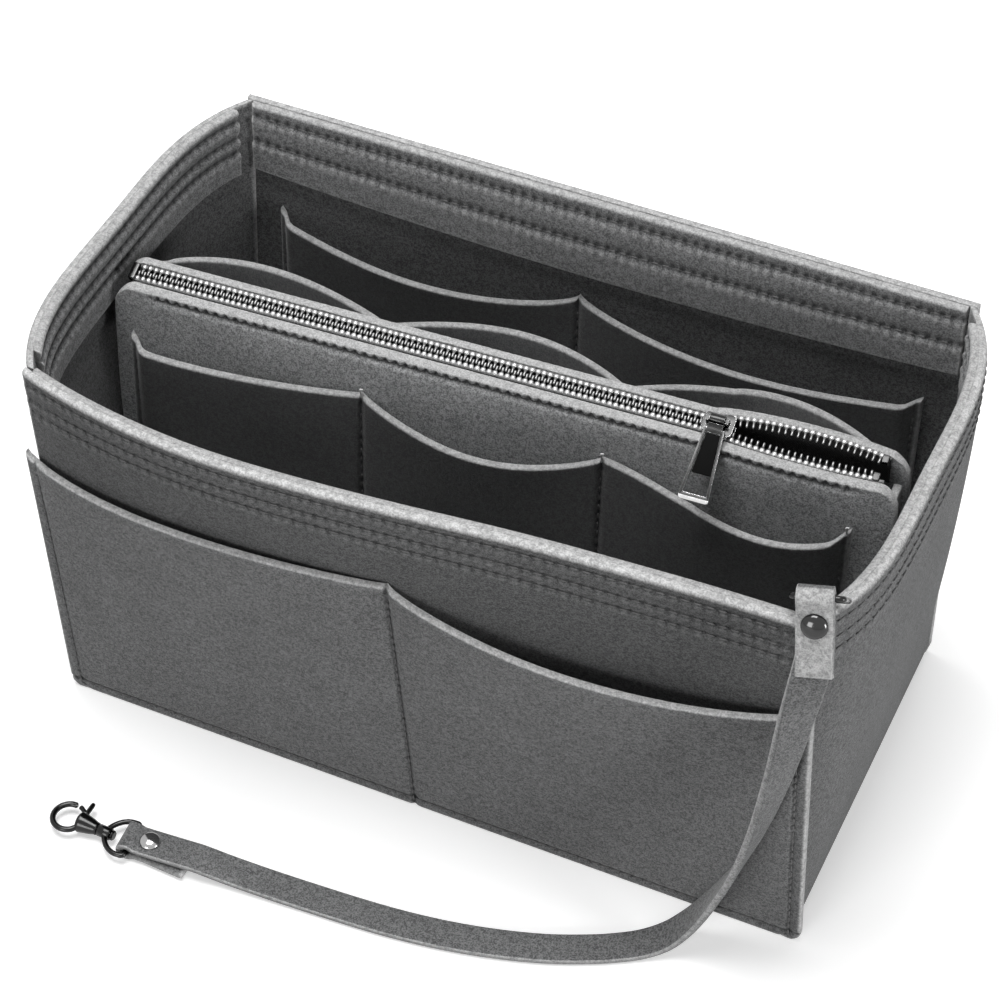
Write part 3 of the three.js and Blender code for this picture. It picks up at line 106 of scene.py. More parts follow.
class NodeSheet:
    """A node tree with short calls to add and join its nodes."""

    def __init__(self, tree: NodeTree) -> None:
        """Keeps the tree that the nodes go into."""
        self.tree = tree

    def put(self, socket: NodeSocket, value: object) -> None:
        """Feeds an input.

        Args:
            socket: the input.
            value: an output to link to it, or its value.
        """
        if isinstance(value, NodeSocket):
            self.tree.links.new(value, socket)
        else:
            socket.default_value = value

    def add(self, kind: str, *feeds: object, **settings: object) -> Node:
        """Adds a node.

        Args:
            kind: the node's Blender type name.
            feeds: outputs or values for its first inputs, in order.
            settings: its properties, and outputs or values for inputs under their names with _ for a space.

        Returns:
            The node.
        """
        node = self.tree.nodes.new(kind)
        for name, value in settings.items():
            if hasattr(node, name):
                setattr(node, name, value)
            else:
                self.put(node.inputs[name.replace("_", " ")], value)
        for socket, value in zip(node.inputs, feeds):
            self.put(socket, value)
        return node

    def out(self, kind: str, *feeds: object, **settings: object) -> NodeSocket:
        """Adds a node as add does and gives its first output."""
        return self.add(kind, *feeds, **settings).outputs[0]

    def math(self, operation: str, first: object, second: object = 0.0) -> NodeSocket:
        """Adds a Math node and gives its output."""
        return self.out("ShaderNodeMath", first, second, operation=operation)

    def weigh(self, *parts: tuple[NodeSocket, float]) -> NodeSocket:
        """Adds up outputs, each times its weight.

        Args:
            parts: the outputs and their weights.

        Returns:
            The sum.
        """
        products = [self.math("MULTIPLY", value, weight) for value, weight in parts]
        total = products[0]
        for product in products[1:]:
            total = self.math("ADD", total, product)
        return total

    def spread(self, value: NodeSocket, *span: object) -> NodeSocket:
        """Maps a value's span, given as two ends, to 0 and 1 or to the third and fourth number."""
        return self.out("ShaderNodeMapRange", value, *span)

    def mix(self, share: object, first: object, second: object) -> NodeSocket:
        """Adds a colour Mix node.

        Args:
            share: the share of the second colour.
            first: a colour or an output.
            second: a colour or an output.

        Returns:
            The mixed colour.
        """
        node = self.add("ShaderNodeMix", share, data_type="RGBA")
        self.put(node.inputs[6], first)
        self.put(node.inputs[7], second)
        return node.outputs[2]

    def scale(self, colour: NodeSocket, factor: NodeSocket) -> NodeSocket:
        """Makes a colour lighter or darker."""
        return self.out("ShaderNodeVectorMath", operation="SCALE", Vector=colour, Scale=factor)

    def noise(
        self, point: NodeSocket, scale: float, rough: float = 0.5, detail: float = 2.0, bend: float = 0.0
    ) -> NodeSocket:
        """Adds a noise from 0 to 1."""
        return self.out(
            "ShaderNodeTexNoise", Vector=point, Scale=scale, Detail=detail, Roughness=rough, Distortion=bend
        )

    def place(self) -> NodeSocket:
        """The point on the piece."""
        return self.add("ShaderNodeTexCoord").outputs["Object"]

    def mark(self, name: str) -> NodeSocket:
        """A number that is written on the piece's mesh."""
        return self.add("ShaderNodeAttribute", attribute_name=name).outputs["Fac"]

    def bump(self, height: NodeSocket, strength: float, distance: float) -> NodeSocket:
        """A normal from a height."""
        return self.out("ShaderNodeBump", Strength=strength, Distance=distance, Height=height)


def cleared(owner: object) -> NodeSheet:
    """Turns the nodes of a material or a world on and empties them.

    Args:
        owner: the material or the world.

    Returns:
        The sheet of its tree.
    """
    owner.use_nodes = True
    owner.node_tree.nodes.clear()
    return NodeSheet(owner.node_tree)


def shader_group(name: str, inputs: dict[str, object], outputs: Sequence[str]) -> tuple[NodeSheet, object]:
    """Starts a shader node group.

    Args:
        name: the group's name.
        inputs: default values by name: None for a point, a tuple for a colour, else a number.
        outputs: names; Color is a colour and the others are numbers.

    Returns:
        The sheet of its tree and its inputs.
    """
    tree = bpy.data.node_groups.new(name, "ShaderNodeTree")
    for label, value in inputs.items():
        kind = "Vector" if value is None else "Color" if isinstance(value, tuple) else "Float"
        socket = tree.interface.new_socket(label, in_out="INPUT", socket_type="NodeSocket" + kind)
        if value is not None:
            socket.default_value = value
    for label in outputs:
        kind = "Color" if label == "Color" else "Float"
        tree.interface.new_socket(label, in_out="OUTPUT", socket_type="NodeSocket" + kind)
    sheet = NodeSheet(tree)
    return sheet, sheet.add("NodeGroupInput").outputs


@cache
def felt_grain() -> NodeTree:
    """Matted fibres: a speckled colour and a height, from the point on the piece.

    Returns:
        The group's tree.
    """
    inputs = {"Point": None, "Cut": 0.0, "Sunk": 0.0}
    inputs |= {"Dark Fibre": grey(0.1), "Light Fibre": grey(0.3), "Cut Colour": grey(0.4)}
    sheet, given = shader_group("felt_grain", inputs, ("Color", "Height"))
    point = given["Point"]
    fine, coarse, cloud = sheet.noise(point, 1700, 0.6), sheet.noise(point, 640), sheet.noise(point, 55)
    drawn = sheet.out("ShaderNodeMapping", Vector=point, Scale=(0.35, 1.0, 1.6), Rotation=(0.4, 0.7, 0.2))
    fibre = sheet.noise(drawn, 1900, 0.6, bend=1.5)
    speckle = sheet.spread(sheet.weigh((fine, 0.55), (coarse, 0.25), (fibre, 0.2)), 0.42, 0.58)
    base = sheet.mix(speckle, given["Dark Fibre"], given["Light Fibre"])
    tone = sheet.scale(base, sheet.spread(cloud, 0.3, 0.7, 0.94, 1.06))
    frayed = sheet.math("ADD", sheet.math("MULTIPLY", coarse, 0.7), 0.5)
    edge = sheet.math("MINIMUM", sheet.math("MULTIPLY", given["Cut"], frayed), 1.0)
    fuzz = sheet.scale(given["Cut Colour"], sheet.math("ADD", sheet.math("MULTIPLY", speckle, 0.44), 0.78))
    # Sunk mixes in near-black, painted shade in stitch holes. Cut pales the colour: real cut edges, and
    # painted light where pillows, the tab's face and the strap's left edge are marked.
    sheet.add(
        "NodeGroupOutput",
        Color=sheet.mix(given["Sunk"], sheet.mix(edge, tone, fuzz), (0.012, 0.012, 0.013, 1)),
        Height=sheet.weigh((coarse, 0.6), (fine, 0.5), (fibre, 0.3)),
    )
    return sheet.tree


@cache
def metal_wear_and_highlight() -> NodeTree:
    """Handled metal: a clouded colour and roughness, with fine marks and edges painted paler as a painted
    highlight.

    Returns:
        The group's tree.
    """
    inputs = {"Point": None, "Bright": grey(0.8), "Dull": grey(0.6), "Edge Colour": grey(0.8)}
    inputs |= {"Smoothest": 0.12, "Roughest": 0.35, "Edge": 0.0}
    sheet, given = shader_group("metal_wear_and_highlight", inputs, ("Color", "Roughness", "Height"))
    cloud = sheet.noise(given["Point"], 420, 0.6, detail=4)
    plain = sheet.mix(sheet.math("SMOOTH_MIN", cloud, 1.0), given["Bright"], given["Dull"])
    sheet.add(
        "NodeGroupOutput",
        Color=sheet.mix(given["Edge"], plain, given["Edge Colour"]),
        Roughness=sheet.spread(cloud, 0.3, 0.7, given["Smoothest"], given["Roughest"]),
        Height=sheet.noise(given["Point"], 3800, bend=2.0),
    )
    return sheet.tree


@cache
def tape_weave() -> NodeTree:
    """Woven tape: ribs along the piece's own UV map, as a mask and a height.

    Returns:
        The group's tree.
    """
    sheet, given = shader_group("tape_weave", {"Point": None, "Ribs": 900.0}, ("Mask", "Height"))
    along, across, _ = sheet.add("ShaderNodeSeparateXYZ", given["Point"]).outputs
    lean = sheet.math("ADD", along, sheet.math("ABSOLUTE", sheet.math("WRAP", across, 0.001)))
    rib = sheet.math("SINE", sheet.math("MULTIPLY", lean, sheet.math("MULTIPLY", given["Ribs"], 6.283)))
    weft = sheet.math("SINE", sheet.math("MULTIPLY", across, 9000.0))
    height = sheet.math("ADD", sheet.weigh((rib, 0.35), (weft, 0.15)), 0.5)
    sheet.add("NodeGroupOutput", Mask=height, Height=height)
    return sheet.tree


@dataclass(frozen=True)
class Finish:
    """A material with one Principled shader."""

    name: str

    def shade(self, sheet: NodeSheet) -> dict[str, object]:
        """Gives the shader's inputs by name, with _ for a space."""
        raise NotImplementedError

    def make(self) -> Material:
        """Builds the material.

        Returns:
            The material.
        """
        material = bpy.data.materials.new(self.name)
        sheet = cleared(material)
        shader = sheet.out("ShaderNodeBsdfPrincipled", **self.shade(sheet))
        sheet.add("ShaderNodeOutputMaterial", Surface=shader)
        return material


@dataclass(frozen=True)
class FeltFinish(Finish):
    """Needled felt with speckled fibres and paler cut edges."""

    dark: Colour
    light: Colour
    cut: Colour
    sheen: float = 0.25
    fuzz: float = 0.55

    def shade(self, sheet: NodeSheet) -> dict[str, object]:
        """Speckled fibres, pale cut edges, painted light on marked faces and stitch holes painted dark as
        shade.

        Args:
            sheet: the material's nodes.

        Returns:
            The shader's inputs.
        """
        grain = sheet.add(
            "ShaderNodeGroup", node_tree=felt_grain(), Point=sheet.place(), Cut=sheet.mark("cut"),
            Sunk=sheet.mark("sunk"), Dark_Fibre=self.dark, Light_Fibre=self.light, Cut_Colour=self.cut,
        )
        return {
            "Base_Color": grain.outputs["Color"], "Roughness": 0.95, "Specular_IOR_Level": 0.15,
            "Normal": sheet.bump(grain.outputs["Height"], self.fuzz, 0.0007),
            "Sheen_Weight": self.sheen, "Sheen_Roughness": 0.45,
        }


@dataclass(frozen=True)
class MetalFinish(Finish):
    """Plated metal, with marked edges painted paler as a painted highlight."""

    bright: Colour
    dull: Colour
    smoothest: float = 0.1
    roughest: float = 0.3
    marks: float = 0.08
    edge: float = 0.8

    def shade(self, sheet: NodeSheet) -> dict[str, object]:
        """A clouded plating with fine marks.

        Args:
            sheet: the material's nodes.

        Returns:
            The shader's inputs.
        """
        wear = sheet.add(
            "ShaderNodeGroup", node_tree=metal_wear_and_highlight(), Point=sheet.place(), Edge=sheet.mark("edge"),
            Bright=self.bright, Dull=self.dull, Edge_Colour=grey(self.edge),
            Smoothest=self.smoothest, Roughest=self.roughest,
        )
        return {
            "Base_Color": wear.outputs["Color"], "Roughness": wear.outputs["Roughness"], "Metallic": 1.0,
            "Normal": sheet.bump(wear.outputs["Height"], self.marks, 0.0001),
        }


@dataclass(frozen=True)
class DarkReflectionFinish(Finish):
    """Near-black coat in the puller's window: a painted dark reflection of the polished plate."""

    colour: Colour
    cloudy: Colour

    def shade(self, sheet: NodeSheet) -> dict[str, object]:
        """A dull dark coat: painted dark reflection.

        Args:
            sheet: the material's nodes.

        Returns:
            The shader's inputs.
        """
        wear = sheet.add(
            "ShaderNodeGroup", node_tree=metal_wear_and_highlight(), Point=sheet.place(),
            Bright=self.colour, Dull=self.cloudy, Smoothest=0.4, Roughest=0.6,
        )
        return {
            "Base_Color": wear.outputs["Color"], "Roughness": wear.outputs["Roughness"],
            "Specular_IOR_Level": 0.02,
        }


@dataclass(frozen=True)
class WovenFinish(Finish):
    """Woven tape, on the piece's UV map."""

    valley: Colour
    ridge: Colour
    ribs: float = 900.0

    def shade(self, sheet: NodeSheet) -> dict[str, object]:
        """Ribs and wefts.

        Args:
            sheet: the material's nodes.

        Returns:
            The shader's inputs.
        """
        cloth = sheet.out("ShaderNodeUVMap", uv_map="Cloth")
        weave = sheet.add("ShaderNodeGroup", node_tree=tape_weave(), Point=cloth, Ribs=self.ribs)
        return {
            "Base_Color": sheet.mix(weave.outputs["Mask"], self.valley, self.ridge), "Roughness": 0.85,
            "Specular_IOR_Level": 0.2, "Normal": sheet.bump(weave.outputs["Height"], 0.5, 0.0003),
        }


@dataclass(frozen=True)
class ThreadFinish(Finish):
    """Sewing thread or cord that matches the felt."""

    dark: Colour
    light: Colour

    def shade(self, sheet: NodeSheet) -> dict[str, object]:
        """A spun, speckled thread.

        Args:
            sheet: the material's nodes.

        Returns:
            The shader's inputs.
        """
        twist = sheet.noise(sheet.place(), 2400)
        colour = sheet.mix(twist, self.dark, self.light)
        return {"Base_Color": colour, "Roughness": 0.7, "Normal": sheet.bump(twist, 0.5, 0.0002)}


def grey(value: float, warm: float = 0.0) -> Colour:
    """A grey colour, a little warm or cool.

    Args:
        value: the linear grey level.
        warm: how much redder than blue it is, as a share.

    Returns:
        Red, green, blue and alpha.
    """
    return (value * (1 + warm), value, value * (1 - warm), 1.0)


class Finishes:
    """All materials of the organizer."""

    def __init__(self) -> None:
        """Builds each material once."""
        self.felt = FeltFinish("felt_grey", grey(0.075, -0.01), grey(0.215, -0.01), grey(0.5)).make()
        # Painted shade: a darker copy of the felt for the front panel. Its cut colour is paler than the
        # other felt's: real pale cut edges, paler still as painted light on the front rim.
        self.front = FeltFinish("felt_front_painted_shade", grey(0.047, -0.01), grey(0.132, -0.01), grey(0.58)).make()
        # Painted light: a much lighter copy of the felt for the pouch's two panels, which stand in the box's
        # shade.
        self.pouch = FeltFinish("felt_pouch", grey(0.23, -0.01), grey(0.62, -0.01), grey(0.44)).make()
        # Painted light: a lighter copy of the felt for the four rim bands inside the box.
        self.band = FeltFinish("felt_band_painted_light", grey(0.1, -0.01), grey(0.28, -0.01), grey(0.45)).make()
        # Painted shade: a darker copy of the felt, with weaker grain, for the pockets inside the box and on
        # the pouch.
        self.inner = FeltFinish("felt_inner_painted_shade", grey(0.098, -0.01), grey(0.158, -0.01), grey(0.4)).make()
        self.lining = FeltFinish("felt_gusset", grey(0.095, -0.01), grey(0.2, -0.01), grey(0.4)).make()
        self.thread = ThreadFinish("thread_grey", grey(0.05), grey(0.13)).make()
        self.thread_box = ThreadFinish("thread_felt", grey(0.06), grey(0.16)).make()
        self.thread_end = ThreadFinish("thread_pale", grey(0.55), grey(0.8)).make()
        # Its paler edge colour is painted light on the teeth's feet.
        self.teeth = MetalFinish("nickel_teeth", grey(0.24), grey(0.16), 0.24, 0.4, edge=0.5).make()
        self.rivet = MetalFinish("nickel_black", grey(0.07), grey(0.045), 0.08, 0.16, 0.04).make()
        # Painted reflection: a much brighter copy of the rivet nickel, for the lower rivet that faces up.
        self.rivet_painted_reflection = MetalFinish("nickel_painted_reflection", grey(0.5), grey(0.34), 0.08, 0.16, 0.04).make()
        # Its pale edge colour is a painted highlight on the slider's and the puller's bevels.
        self.slider = MetalFinish("gunmetal_cast", grey(0.05), grey(0.025), 0.14, 0.28, edge=0.7).make()
        # Its edge colour is a slight painted highlight on the stops' bevels.
        plated = MetalFinish("gunmetal_plated", grey(0.045), grey(0.025), 0.12, 0.24, edge=0.12)
        self.gunmetal = plated.make()
        # Painted reflection: a near-black coat in the puller's window, standing for the polished plate's
        # dark reflection.
        self.inlay = DarkReflectionFinish("painted_dark_reflection", grey(0.004), grey(0.008)).make()
        self.tape = WovenFinish("zip_tape_woven", grey(0.02), grey(0.07)).make()
        # Painted light: the corded edge is paler than thread, as light seen between the teeth's feet.
        self.cord = ThreadFinish("cord_painted_light", grey(0.16), grey(0.3)).make()


# Mesh helpers


def framed(points: Array) -> Array:
    """Turns maker's millimetres into the frame's metres.

    Args:
        points: points in the last axis.

    Returns:
        The points in metres.
    """
    return (points + np.array([0.0, ORIGIN_Y, 0.0])) * MM


def linked(name: str, data: object) -> Object:
    """Makes an object of some data and links it to the scene.

    Args:
        name: the object's name.
        data: its mesh, lamp or camera.

    Returns:
        The object.
    """
    made = bpy.data.objects.new(name, data)
    bpy.context.scene.collection.objects.link(made)
    return made


def plain_mesh(made: Object) -> Mesh:
    """The mesh of an object with its modifiers carried out.

    Args:
        made: the object.

    Returns:
        A new mesh.
    """
    bpy.context.view_layer.update()
    graph = bpy.context.evaluated_depsgraph_get()
    return bpy.data.meshes.new_from_object(made.evaluated_get(graph), depsgraph=graph)


def mesh_object(name: str, points: Array, faces: Sequence[Sequence[int]], material: Material) -> Object:
    """Makes a smooth closed mesh object from millimetre points.

    Args:
        name: the object's name.
        points: an n x 3 array in the maker's frame.
        faces: vertex numbers of each face.
        material: its finish.

    Returns:
        The object, linked to the scene.
    """
    mesh = bpy.data.meshes.new(name)
    mesh.from_pydata(framed(points).tolist(), [], [list(f) for f in faces])
    mesh.update()
    mesh.polygons.foreach_set("use_smooth", [True] * len(mesh.polygons))
    mesh.materials.append(material)
    return linked(name, mesh)


def face_out(points: Array, faces: Array) -> Array:
    """Turns a closed shell's quads round if they point inwards.

    Args:
        points: n x 3 points.
        faces: m x 4 vertex numbers.

    Returns:
        The faces, pointing outwards.
    """
    middle = points.mean(axis=0)
    a, b, c, d = (points[faces[:, k]] - middle for k in range(4))
    volume = (a * np.cross(b, c)).sum() + (a * np.cross(c, d)).sum()
    return faces if volume > 0 else faces[:, ::-1]


def point_attribute(made: Object, name: str, values: Array) -> None:
    """Writes one number for each vertex.

    Args:
        made: the object.
        name: the attribute's name.
        values: one number for each vertex.
    """
    attribute = made.data.attributes.new(name, "FLOAT", "POINT")
    attribute.data.foreach_set("value", values.astype(np.float32).ravel())


def cloth_map(made: Object, flat: Array) -> None:
    """Writes the UV map from each vertex's place on the flat cloth.

    Args:
        made: the object.
        flat: n x 2 places in millimetres.
    """
    loops = np.zeros(len(made.data.loops), np.int32)
    made.data.loops.foreach_get("vertex_index", loops)
    layer = made.data.uv_layers.new(name="Cloth")
    layer.data.foreach_set("uv", (flat[loops] * MM).astype(np.float32).ravel())


def unit(vectors: Array) -> Array:
    """Makes the length of each vector 1."""
    return vectors / np.linalg.norm(vectors, axis=-1, keepdims=True)


def run_lengths(points: Array) -> Array:
    """Length of a line from its start to each of its points."""
    return np.concatenate([[0.0], np.cumsum(np.linalg.norm(np.diff(points, axis=0), axis=1))])


def axis_at(point: Array, direction: Array) -> Matrix:
    """Moves a shape on the Z axis to a point, with its axis along a direction."""
    turn = Vector((0, 0, 1)).rotation_difference(Vector(direction)).to_matrix().to_4x4()
    return Matrix.Translation(Vector(point)) @ turn


def smooth_step(value: Array) -> Array:
    """Eases from 0 to 1."""
    share = np.clip(value, 0.0, 1.0)
    return share * share * (3 - 2 * share)


def soft_wave(a: Array, b: Array, phase: float) -> Array:
    """A slow, slight waviness of hand-sewn felt.

    Args:
        a: place along the piece, in millimetres.
        b: place up the piece, in millimetres.
        phase: tells one wall from another.

    Returns:
        A height between about -1 and 1.
    """
    slow = np.sin(a * 0.034 + phase) * np.sin(b * 0.041 + 1.7 * phase)
    quick = np.sin(a * 0.081 + 2.3 * phase) * np.sin(b * 0.067 + phase)
    return 0.65 * slow + 0.35 * quick


def grid_steps(length: float, pitch: float, edge: float, marks: Iterable[float] = ()) -> Array:
    """Places of grid lines from 0 to 1, closer at the cut edges and at marked lines.

    Args:
        length: the side's length in millimetres.
        pitch: the usual spacing.
        edge: how far the cut edge's rounding reaches in.
        marks: places in millimetres that need finer lines, such as stitch rows.

    Returns:
        The places as shares of the length.
    """
    near = EDGE_STEPS * edge
    fine = np.concatenate([-STITCH_STEPS[:0:-1], STITCH_STEPS])
    count = max(int(round((length - 3 * edge) / pitch)), 2)
    inner = np.linspace(near[-1], length - near[-1], count + 1)
    places = [near, length - near]
    for mark in marks:
        inner = inner[np.abs(inner - mark) > STITCH_ROOM]
        places.append(mark + fine)
    every = np.sort(np.concatenate([*places, inner]))
    every = every[(every >= 0) & (every <= length)]
    kept = [every[0]]
    for place in every[1:]:
        if place - kept[-1] > 0.04 * edge:
            kept.append(place)
    kept[-1] = length
    return np.array(kept) / length


@dataclass(frozen=True)
class StitchRow:
    """A row of stitches along u at a height v, or along v at a place u, in millimetres."""

    place: float
    pitch: float = 4.2
    depth: float = 0.8
    width: float = 1.1
    pucker: float = 0.4
    pillow: float = 0.0
    lower: float = -1.0
    scallop: float = 0.35

    def dent(self, along: Array, off: Array) -> Array:
        """How far the felt is pulled in.

        Args:
            along: place along the row.
            off: place across it.

        Returns:
            The depth in millimetres.
        """
        share = (off - self.place) * self.lower / self.width
        beat = np.cos(2 * np.pi * along / self.pitch)
        lip = 0.8 - self.scallop * beat
        groove = np.exp(-(np.where(share > 0, share / lip, 0.7 * share) ** 2))
        swell = np.exp(-((share - 1.6) ** 2)) * (0.6 + 0.4 * beat)
        return self.depth * groove * (1 - self.pucker - self.pucker * beat) - self.pillow * swell


@dataclass
class Row:
    """Marked points of a row, with the row's direction and the surface's outward direction."""

    points: Array
    along: Array
    out: Array


def surface_row(surface: Surface, u: Array, v: Array, depth: Array) -> Row:
    """Marks points on a sheet's near face.

    Args:
        surface: the sheet's surface.
        u: places along u.
        v: places along v.
        depth: how deep the points lie under the near face.

    Returns:
        The row.
    """
    points = surface(u, v, depth)
    return Row(points, unit(np.gradient(points, axis=0)), unit(surface(u, v, depth - 0.5) - points))


@dataclass
class Slab:
    """A felt sheet between two parallel faces, with softly rounded cut edges.

    surface gives the point at (u, v) and a depth from the near face. Stitch rows along u and seams along v
    sink the near face; fade says how much at a place along u.
    """

    name: str
    surface: Surface
    u_length: float
    v_length: float
    thickness: float
    near_round: float
    far_round: float
    u_pitch: float
    v_pitch: float
    top_round: float = 0.0
    stitches: Sequence[StitchRow] = ()
    seams: Sequence[StitchRow] = ()
    fade: Callable[[Array], Array] = np.ones_like
    cut_reach: float = 1.0

    def build(self, material: Material) -> Object:
        """Makes the sheet's mesh.

        Args:
            material: its finish.

        Returns:
            The object.
        """
        edge = max(self.near_round, self.far_round, self.top_round)
        columns = grid_steps(self.u_length, self.u_pitch, edge, [seam.place for seam in self.seams])
        rows = grid_steps(self.v_length, self.v_pitch, edge, [row.place for row in self.stitches])
        u, v = np.meshgrid(columns, rows)
        along, up, below = u * self.u_length, v * self.v_length, (1 - v) * self.v_length
        rim = np.minimum(np.minimum(u, 1 - u) * self.u_length, np.minimum(v, 1 - v) * self.v_length)
        sink = np.zeros_like(u)
        sink += sum(seam.dent(up, along) for seam in self.seams)
        sink += sum(row.dent(along, up) for row in self.stitches)
        sink *= self.fade(u)
        near = np.maximum(self.rounding(rim, self.near_round), self.rounding(below, self.top_round)) + sink
        far = self.thickness - self.rounding(rim, self.far_round)
        points = np.concatenate([self.surface(u, v, depth).reshape(-1, 3) for depth in (near, far)])
        faces = face_out(points, self.quads(len(rows), len(columns)))
        made = mesh_object(self.name, points, faces, material)
        sunk = np.concatenate([sink.ravel(), np.zeros(sink.size)])
        cut = np.clip(1.25 - rim / self.cut_reach, 0.0, 1.0)
        if self.top_round:
            cut = np.maximum(cut, np.clip(1.25 - below / self.top_round, 0.0, 1.0))
        cut = np.concatenate([cut.ravel(), cut.ravel()])
        # Raised pillows below the stitch rows get the cut mark, painted light; the sunk mark makes deep
        # needle holes near-black, painted shade.
        point_attribute(made, "cut", np.maximum(cut, np.clip(-1.2 * sunk, 0.0, 0.5)))
        point_attribute(made, "sunk", np.clip(sunk - 0.35, 0.0, 1.0) * 0.75)
        flat = np.stack([along, up], axis=-1).reshape(-1, 2)
        cloth_map(made, np.concatenate([flat, flat]))
        return made

    def sew(
        self, felt: Material, body: Body, node: str, rows: list[Row], margin: float
    ) -> None:
        """Args:
            felt: its finish.
            body: the body that it rides on.
            node: the CAD node.
            rows: takes the stitch rows.
            margin: left free at both ends of a row along u.
        """
        made = settle(self.build(felt), body, Slot.FELT, node)
        rows += [self.stitch_line(seam, SEAM_MARGIN, upright=True) for seam in self.seams]
        rows += [self.stitch_line(row, margin, upright=False) for row in self.stitches]

    def stitch_line(self, row: StitchRow, margin: float, upright: bool) -> Row:
        """Marks the middle of each stitch of a row.

        Args:
            row: the stitch row.
            margin: left free at both ends.
            upright: whether it runs along v.

        Returns:
            The marked points.
        """
        length, width = (self.v_length, self.u_length) if upright else (self.u_length, self.v_length)
        count = max(int((length - 2 * margin) / row.pitch), 2)
        first = math.ceil(margin / row.pitch) * row.pitch
        run = (first + row.pitch * np.arange(count)) / length
        run = run[run <= 1 - margin / length]
        off = np.full_like(run, row.place / width)
        deep = np.full_like(run, row.depth * (1 - 2 * row.pucker) - THREAD_LIFT)
        u, v = (off, run) if upright else (run, off)
        return surface_row(self.surface, u, v, deep)

    @staticmethod
    def rounding(rim: Array, radius: float) -> Array:
        """Depth of a rounded edge at a distance from it.

        Args:
            rim: distances from the edge.
            radius: the rounding's radius.

        Returns:
            The depths.
        """
        if radius <= 0:
            return np.zeros_like(rim)
        inset = radius - np.minimum(rim, radius)
        return radius - np.sqrt(np.maximum(radius * radius - inset * inset, 0.0))

    @staticmethod
    def quads(rows: int, columns: int) -> Array:
        """Faces of the near side, the far side and the four edges.

        Args:
            rows: grid lines along v.
            columns: grid lines along u.

        Returns:
            An m x 4 array.
        """
        index = np.arange(2 * rows * columns).reshape(2, rows, columns)
        near, far = index

        def strip(a: Array, b: Array) -> Array:
            """Quads between two lines of vertices."""
            return np.stack([a[:-1], a[1:], b[1:], b[:-1]], axis=-1).reshape(-1, 4)

        parts = [
            np.stack([near[:-1, :-1], near[:-1, 1:], near[1:, 1:], near[1:, :-1]], axis=-1).reshape(-1, 4),
            np.stack([far[:-1, :-1], far[1:, :-1], far[1:, 1:], far[:-1, 1:]], axis=-1).reshape(-1, 4),
            strip(far[0], near[0]),
            strip(near[-1], far[-1]),
            strip(near[:, 0], far[:, 0]),
            strip(far[:, -1], near[:, -1]),
        ]
        return np.concatenate(parts)


def loft(rings: Sequence[Array], closed: bool = False) -> Shell:
    """A shell over rings of points, with its ends capped.

    Args:
        rings: the rings, all with the same count of points.
        closed: whether the last ring joins the first, without caps.

    Returns:
        Its points and faces.
    """
    count, sides = len(rings), len(rings[0])
    faces = []
    for i in range(count if closed else count - 1):
        here, after = i * sides, (i + 1) % count * sides
        for k in range(sides):
            turn = (k + 1) % sides
            faces.append([here + k, here + turn, after + turn, after + k])
    if not closed:
        faces.append(list(range(sides))[::-1])
        faces.append([(count - 1) * sides + k for k in range(sides)])
    return np.concatenate(rings), faces


def tube_mesh(path: Array, radius: Sequence[float], sides: int, closed: bool) -> Shell:
    """A round wire along a path.

    Args:
        path: n x 3 points.
        radius: the wire's radius at each point.
        sides: points round the wire.
        closed: whether the path comes back to its start.

    Returns:
        Its points and faces.
    """
    ahead = np.roll(path, -1, axis=0) - np.roll(path, 1, axis=0) if closed else np.gradient(path, axis=0)
    tangents = unit(ahead)
    helper = np.array([0.0, 0.0, 1.0]) if abs(tangents[0][2]) < 0.8 else np.array([1.0, 0.0, 0.0])
    normal = np.cross(tangents[0], helper)
    normals = []
    for tangent in tangents:
        normal = unit(normal - tangent * np.dot(normal, tangent))
        normals.append(normal)
    if closed:
        normals = closed_twist(np.array(normals), tangents)
    turns = 2 * np.pi * np.arange(sides) / sides
    rings = []
    for point, tangent, normal, size in zip(path, tangents, normals, radius):
        other = np.cross(tangent, normal)
        rings.append(point + size * (np.outer(np.cos(turns), normal) + np.outer(np.sin(turns), other)))
    return loft(rings, closed)


def closed_twist(normals: Array, tangents: Array) -> Array:
    """Spreads the twist that is left over round a closed path.

    Args:
        normals: carried normals.
        tangents: directions of the path.

    Returns:
        Normals that meet at the start.
    """
    last, first, axis = normals[-1], normals[0], tangents[0]
    carried = unit(last - axis * np.dot(last, axis))
    angle = math.atan2(np.dot(np.cross(carried, first), axis), np.dot(carried, first))
    count = len(normals)
    turned = []
    for i, (normal, tangent) in enumerate(zip(normals, tangents)):
        part = angle * i / count
        turned.append(normal * math.cos(part) + np.cross(tangent, normal) * math.sin(part))
    return np.array(turned)


def lathe_mesh(profile: Sequence[tuple[float, float]], sides: int, place: Matrix) -> Shell:
    """A turned shape; its profile runs from axis to axis.

    Args:
        profile: radius and height.
        sides: points round the axis.
        place: moves the shape, with its axis along Z, into the maker's frame.

    Returns:
        Its points and faces.
    """
    points, rings = [], []
    for radius, height in profile:
        if radius < 1e-6:
            rings.append([len(points)])
            points.append(place @ Vector((0, 0, height)))
            continue
        ring = []
        for k in range(sides):
            angle = 2 * math.pi * k / sides
            ring.append(len(points))
            points.append(place @ Vector((radius * math.cos(angle), radius * math.sin(angle), height)))
        rings.append(ring)
    faces = []
    for low, high in zip(rings, rings[1:]):
        for k in range(sides):
            turn = (k + 1) % sides
            if len(low) == 1:
                faces.append([low[0], high[k], high[turn]])
            elif len(high) == 1:
                faces.append([low[k], low[turn], high[0]])
            else:
                faces.append([low[k], low[turn], high[turn], high[k]])
    return np.array([tuple(p) for p in points]), faces


